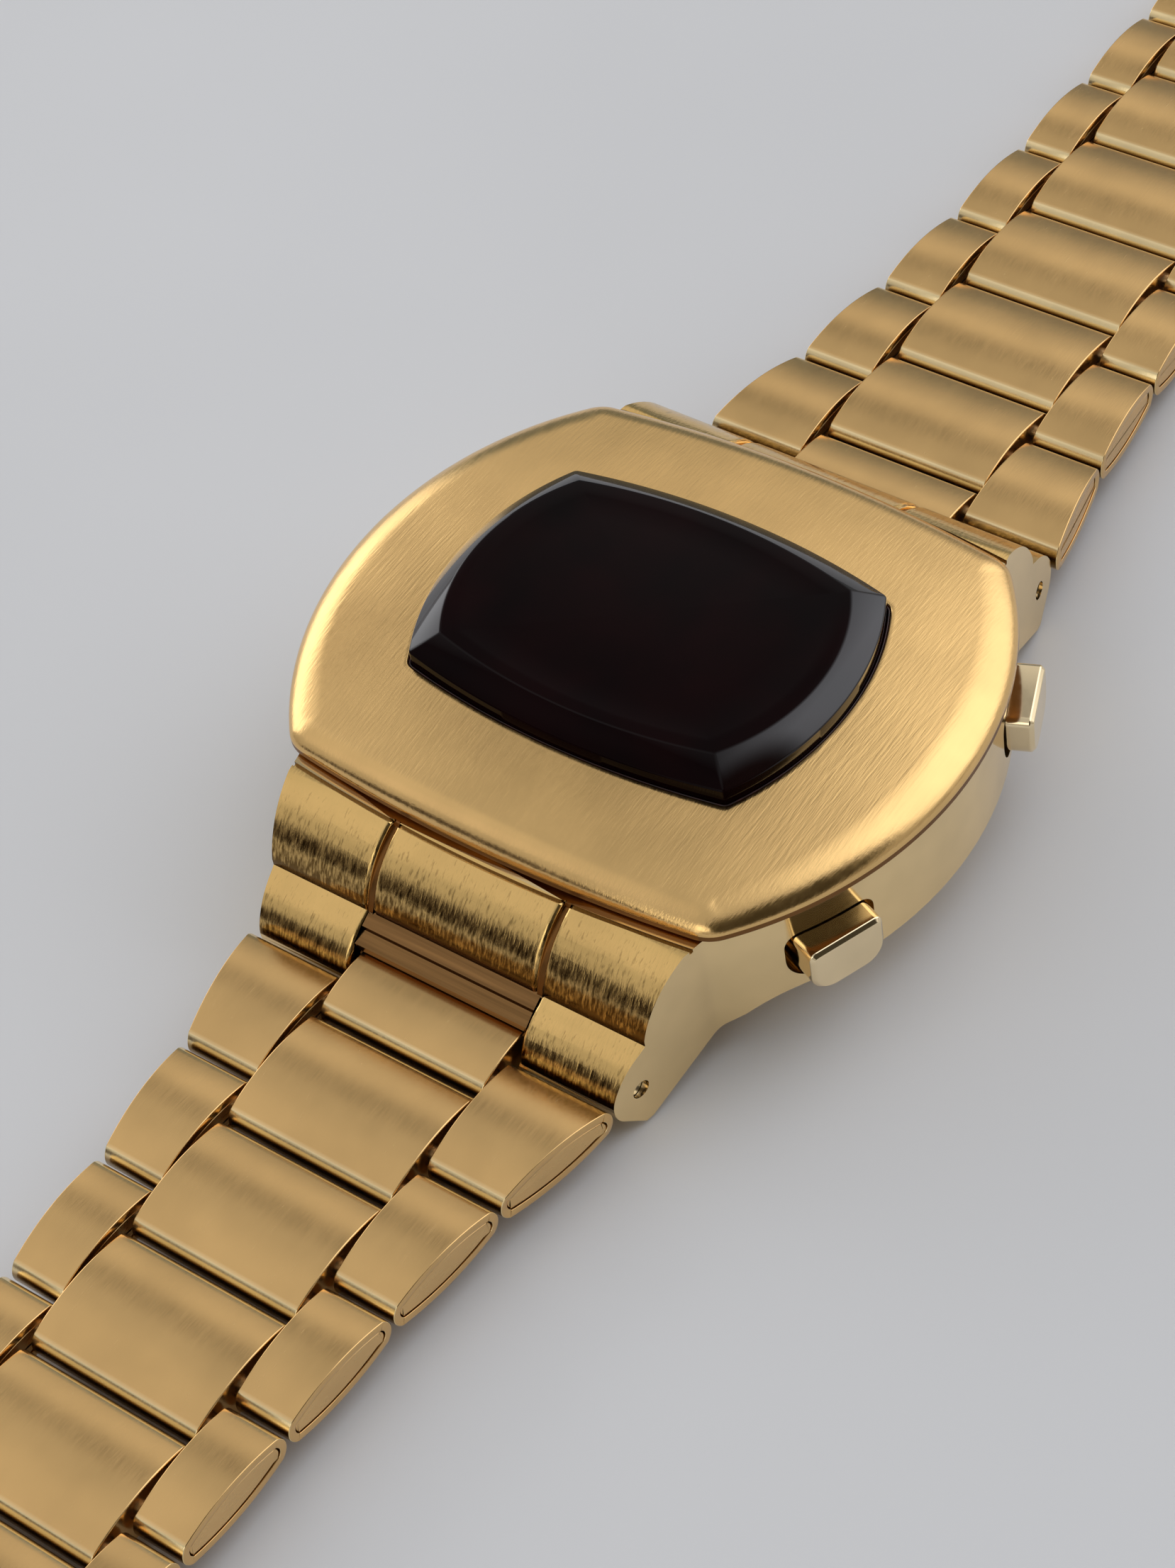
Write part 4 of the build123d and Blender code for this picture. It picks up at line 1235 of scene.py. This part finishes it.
@dataclass(frozen=True)
class CaseMiddle:
    """The case middle: brushed lug blocks with soft edges, polished walls; in millimetres."""

    block_from: float = 15.0  # Y where the blocks start, from the middle.
    block_foot: float = 3.4  # Height of their feet.
    block_half: float = 10.5  # X up to which they are cut.
    groove_low: float = 5.48  # X of each groove's walls.
    groove_high: float = 5.84
    cheek: float = 5.75  # X of the pocket's cheeks.
    ledge_y: float = 19.6  # Y of the ledge between the blocks.
    soft: float = 0.28  # Radius of the blocks' edges along the grooves.
    edge: float = 0.06  # Width of the bevels on the other edges.
    hood_half: float = 5.74  # Half the width of the hood over each end link.
    hood_from: float = STRAP.bar_y - 0.8  # Y where it starts.
    margin: float = 0.02  # How far a groove's finish reaches past its walls.
    steep: float = 0.8  # Share of X in a side wall's normal.

    CUTS = (0.03, 0.13, 0.3, 0.5, 0.75, 1.0, 1.25)  # Shares of the radius.
    SLACK = 1e-4  # How far inside a wall a point may lie and still be on it.
    FRONT = 0.2  # Largest share of X, or of -Z, in the normal of a block's front.
    UPWARD = 0.05  # Share of Z over which a normal is a brushed face's.
    ENDWARD = 0.3  # The same for Y.
    FINISHES = (Finish.WALL, Finish.LUG, Finish.HOOD, Finish.SHADED_RECESS)

    def drop(self, x: float, y: float) -> float:
        """Find how far a block's surface has sunk, near a groove or a cheek.

        The section is a quarter circle: r - sqrt(r^2 - (r - d)^2), d being the distance to the
        nearer edge and r the edge's radius.

        Args:
            x: Distance from the middle line, in millimetres.
            y: Distance from the case's middle.

        Returns:
            The depth in millimetres.
        """
        high = self.groove_high if y < self.ledge_y else self.cheek
        wall = high - self.SLACK
        if self.groove_low < x < wall:
            return 0.0
        near = self.soft - min(self.soft, x - high if x > wall else self.groove_low - x)
        return self.soft - math.sqrt(max(self.soft ** 2 - near ** 2, 0.0))

    def soften(self, bm: bmesh.types.BMesh) -> None:
        """Round the blocks' long edges: cut the blocks by planes beside them, then sink the cuts.

        Args:
            bm: The dressed case middle, open for editing.
        """
        steps = [self.soft * share for share in self.CUTS]
        planes = [self.groove_low - d for d in steps] + [self.groove_high + d for d in steps]
        planes += [self.cheek + d for d in steps]
        for x in [side * x * MM for side in (-1, 1) for x in planes]:
            faces = [f for f in bm.faces if self.on_block(f)]
            cut = faces + list({e for f in faces for e in f.edges})
            cut += list({v for f in faces for v in f.verts})
            plane = {"plane_co": (x, 0, 0), "plane_no": (1, 0, 0)}
            bmesh.ops.bisect_plane(bm, geom=cut, dist=WELD, **plane)
        moves = {}
        for face in filter(self.on_block, bm.faces):
            for vert in face.verts:
                lean = Vector((0, face.normal.y, face.normal.z))
                moves[vert] = moves.get(vert, Vector()) + lean
        for vert, normal in moves.items():
            depth = self.drop(abs(vert.co.x) / MM, abs(vert.co.y) / MM)
            vert.co -= normal.normalized() * depth * MM
        for face in bm.faces:
            face.smooth = True

    def on_block(self, face: bmesh.types.BMFace) -> bool:
        """Find whether a face is on the brushed front of a lug block.

        Args:
            face: A face of the case middle.

        Returns:
            Whether it is.
        """
        centre, normal = face.calc_center_median() / MM, face.normal
        x, y = abs(centre.x), abs(centre.y)
        if abs(normal.x) > self.FRONT or y < self.block_from or x > self.block_half:
            return False
        if x < self.cheek and y > self.ledge_y:
            return False
        if self.groove_low < x < self.groove_high and y < self.ledge_y:
            return False
        outwards = normal.y * centre.y > -self.margin
        return centre.z > self.block_foot and normal.z > -self.FRONT and outwards

    def finish_of(self, face: MeshPolygon) -> Finish:
        """Choose a face's finish.

        Args:
            face: A face of the case middle.

        Returns:
            One of FINISHES.
        """
        centre, normal = face.center / MM, face.normal
        x, y = abs(centre.x), abs(centre.y)
        in_groove = self.groove_low - self.margin < x < self.groove_high + self.margin
        # Groove walls and floors get the dark finish: painted shade.
        if in_groove and abs(normal.x) < self.steep:
            if self.block_from < y < self.ledge_y and centre.z > self.block_foot:
                return Finish.SHADED_RECESS
        if y < self.block_from or centre.z < self.block_foot or abs(normal.x) > self.steep:
            return Finish.WALL
        # The hood over each end link gets its dark brown: painted shade.
        if x < self.hood_half and y > self.hood_from:
            return Finish.HOOD
        brushed = normal.z > self.UPWARD or abs(normal.y) > self.ENDWARD
        return Finish.LUG if brushed else Finish.WALL

    def build(self) -> Object:
        """Make the case middle.

        Returns:
            The mesh object, with its finishes assigned.
        """
        obj = Dressed.build("case_body", "case_middle", self.edge)
        with editing(obj.data) as bm:
            self.soften(bm)
        dress(obj, *self.FINISHES)
        for face in obj.data.polygons:
            face.material_index = self.FINISHES.index(self.finish_of(face))
        return obj


# The CAD solids that keep their own meshes.
CAD_NODES = {
    Finish.WALL: ("case_back",),
    Finish.RUBBER: ("case_back_gasket", "crystal_gasket"),
    Finish.PLASTIC: ("module_frame",),
    Finish.BOARD: ("circuit_board",),
    Finish.DISPLAY: ("led_display",),
    Finish.STEEL: (
        "battery_cells", "battery_contact", "spring_bars", "pusher_2h_clip", "pusher_4h_clip",
        "clasp_hinge_bar", "clasp_end_pin", "clasp_fold_pin", "release_bar",
    ),
}

# The solids that get soft edges: node, new name, bevel width, slot and finish.
DRESSED = (
    ("pusher_2h", "button_2h", 0.06, "gold_case", Finish.PUSHER),
    ("pusher_4h", "button_4h", 0.06, "gold_case", Finish.PUSHER),
    ("clasp_cover", "clasp_lid", 0.25, "gold_bracelet", Finish.LINK),
    ("clasp_blade_outer", "blade_long", 0.1, "steel_parts", Finish.STEEL),
    ("clasp_blade_inner", "blade_short", 0.1, "steel_parts", Finish.STEEL),
)


@dataclass(frozen=True)
class CameraPlace:
    """The photograph's camera, solved from the watch's own straight strap."""

    focal_px: float = 4972.475  # Focal length in the photograph's pixels.
    height_px: float = 2212
    azimuth: float = 43.367  # Degrees from -Y towards +X.
    elevation: float = 48.573
    roll: float = -10.907
    target: tuple = (4.941, -12.195, 15.09)  # Millimetres.
    distance: float = 182.085  # Millimetres from the target.
    sensor: float = 24.0  # Sensor height in millimetres.
    near: float = 0.005  # Where its view begins and ends, in metres.
    far: float = 10

    def build(self) -> Object:
        """Make the camera.

        Its back axis is (sin a cos e, -cos a cos e, sin e); right and up are then turned by
        the roll.

        Returns:
            The camera object.
        """
        a, e, r = (math.radians(v) for v in (self.azimuth, self.elevation, self.roll))
        back = Vector((math.sin(a) * math.cos(e), -math.cos(a) * math.cos(e), math.sin(e)))
        right = (-back).cross(Vector((0, 0, 1))).normalized()
        up = right.cross(-back)
        right, up = math.cos(r) * right + math.sin(r) * up, -math.sin(r) * right + math.cos(r) * up
        data = bpy.data.cameras.new("camera")
        data.sensor_fit = "VERTICAL"
        data.sensor_height = self.sensor
        data.lens = self.focal_px / self.height_px * self.sensor
        data.clip_start, data.clip_end = self.near, self.far
        camera = add_object("camera", data)
        place = (Vector(self.target) + back * self.distance) * MM
        turn = Matrix((right, up, back)).transposed().to_4x4()
        camera.matrix_world = Matrix.Translation(place) @ turn
        bpy.context.scene.camera = camera
        return camera


@dataclass(frozen=True)
class Window:
    """A rectangular window light that faces the watch, in metres and watts."""

    place: tuple = (-0.95, 0.25, 0.30)
    size: tuple = (0.8, 0.5)
    power: float = 1.5
    colour: tuple = (0.97, 0.98, 1.0)

    def build(self) -> Object:
        """Make the light.

        Returns:
            The light object.
        """
        data = bpy.data.lights.new("window", "AREA")
        data.shape = "RECTANGLE"
        data.size, data.size_y = self.size
        data.energy = self.power
        data.color = self.colour
        lamp = add_object("window", data)
        turn = (-Vector(self.place)).to_track_quat("-Z", "Y").to_matrix().to_4x4()
        lamp.matrix_world = Matrix.Translation(self.place) @ turn
        return lamp


def build_floor() -> Object:
    """Make a pale, faintly mottled table top under the watch.

    Returns:
        The floor object.
    """
    half = FLOOR_HALF
    corners = [(-half, -half, 0), (half, -half, 0), (half, half, 0), (-half, half, 0)]
    obj = make_object("floor", np.array(corners, float), [(0, 1, 2, 3)])
    recipe = Recipe("pale_table")
    cloud = recipe.spread(recipe.noise(FLOOR_CELLS, detail=3.0), 0, 1)
    obj.data.materials.append(recipe.finished({
        "Base Color": recipe.mix(FLOOR_LOW, FLOOR_HIGH, cloud),
        "Roughness": FLOOR_ROUGHNESS,
        "Specular IOR Level": FLOOR_GLOSS,
    }))
    return obj


@dataclass(frozen=True)
class Glow:
    """A soft round patch of the room, brighter or darker than what is round it."""

    toward: tuple  # Direction from the watch.
    inner: float  # Degrees inside which the patch is full.
    outer: float  # Degrees beyond which it has gone.
    colour: tuple


# The room's colours by height: the horizon and below, part of the way up, and the zenith.
ROOM_STOPS = ((0.0, (0.36, 0.35, 0.34)), (0.4, (0.50, 0.50, 0.50)), (1.0, (0.52, 0.53, 0.54)))
GLOWS = (
    Glow((0.349, 0.656, 0.669), 18, 46, (1.62, 1.65, 1.74)),
    Glow((-0.882, 0.236, 0.407), 12, 32, (0.95, 0.96, 1.0)),
    Glow((-0.552, -0.201, 0.809), 10, 26, (0.66, 0.66, 0.66)),
    Glow((-0.515, -0.447, 0.731), 8, 17, (0.72, 0.71, 0.72)),
    Glow((-0.641, 0.764, 0.070), 14, 27, (0.17, 0.2, 0.22)),
    Glow((-0.696, 0.370, 0.616), 1.5, 5, (0.25, 0.22, 0.19)),
    Glow((0.720, -0.321, 0.616), 26, 38, (0.05, 0.045, 0.035)),
    Glow((0.087, -0.824, 0.559), 9, 19, (1.6, 1.6, 1.55)),
    Glow((-0.136, -0.969, 0.208), 7, 17, (1.2, 1.2, 1.15)),
    Glow((-0.485, -0.874, 0.035), 13, 22, (0.05, 0.04, 0.035)),
    Glow((-0.454, 0.481, 0.750), 6, 11, (0.3, 0.3, 0.3)),
    Glow((-0.461, 0.625, 0.630), 3, 10, (0.70, 0.69, 0.68)),
)


class Room(Graph):
    """The soft studio round the watch, as the world's light."""

    def __init__(self) -> None:
        """Start an empty world."""
        world = bpy.data.worlds.new("room")
        world.use_nodes = True
        super().__init__(world.node_tree)
        self.toward = self.place.outputs["Generated"]
        bpy.context.scene.world = world

    def patch(self, glow: Glow, under: NodeSocket) -> NodeSocket:
        """Lay a patch over what is there: mix by smoothstep of the angle's cosine.

        Args:
            glow: The patch.
            under: Colour socket to lay it over.

        Returns:
            The mixed colour socket.
        """
        middle = Vector(glow.toward).normalized()
        dot = self.add("VectorMath", {0: self.toward, 1: middle}, operation="DOT_PRODUCT")
        share = self.add("MapRange", {
            "Value": dot.outputs["Value"],
            "From Min": math.cos(math.radians(glow.outer)),
            "From Max": math.cos(math.radians(glow.inner)),
        }, interpolation_type="SMOOTHSTEP")
        return self.mix(under, glow.colour, share.outputs["Result"])

    def build(self) -> None:
        """Grade the room from floor to ceiling, then lay the patches over it."""
        height = self.add("SeparateXYZ", {"Vector": self.toward}).outputs["Z"]
        colour = self.ramp(height, ROOM_STOPS)
        for glow in GLOWS:
            colour = self.patch(glow, colour)
        back = self.add("Background", {"Color": colour})
        self.add("OutputWorld", {"Surface": back.outputs["Background"]})


def build_pieces() -> list[Piece]:
    """Make every visible piece that rides on a body without stretching.

    Returns:
        The pieces.
    """
    pieces = build_bracelet()
    shell = TopShell()
    for obj, slot, finish, *nodes in (
        (shell.build(), "gold_case", Finish.SHELL, "top_shell"),
        (Crystal().build(), "dark_red_crystal", Finish.CRYSTAL, "crystal"),
        (shell.bead(), "black_rubber", Finish.BEAD),
        (CaseMiddle().build(), "gold_case", Finish.WALL, "case_body"),
    ):
        pieces.append(Piece(obj, "case", slot, finish, tuple(nodes)))
    for node, name, soft, slot, finish in DRESSED:
        obj = Dressed.build(node, name, soft)
        pieces.append(Piece(obj, f"{node}_body", slot, finish, (node,)))
    return pieces


def main() -> None:
    """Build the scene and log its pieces."""
    logging.basicConfig(level=logging.INFO)
    bpy.context.scene.view_settings.view_transform = "Standard"
    CameraPlace().build()
    Room().build()
    build_floor()
    Window().build()
    pieces = build_pieces()
    for piece in pieces:
        piece.place()
    for finish, nodes in CAD_NODES.items():
        for held in [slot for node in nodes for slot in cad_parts[node].material_slots]:
            held.link = "OBJECT"
            held.material = material_for(finish)
    pieces += [ReturnSpring(side).build() for side in ("2h", "4h")]
    for piece in pieces:
        LOG.info("%s rides on %s", piece.obj.name, piece.body)
    LOG.info("made %d pieces", len(pieces))


if __name__ == "__main__":
    main()
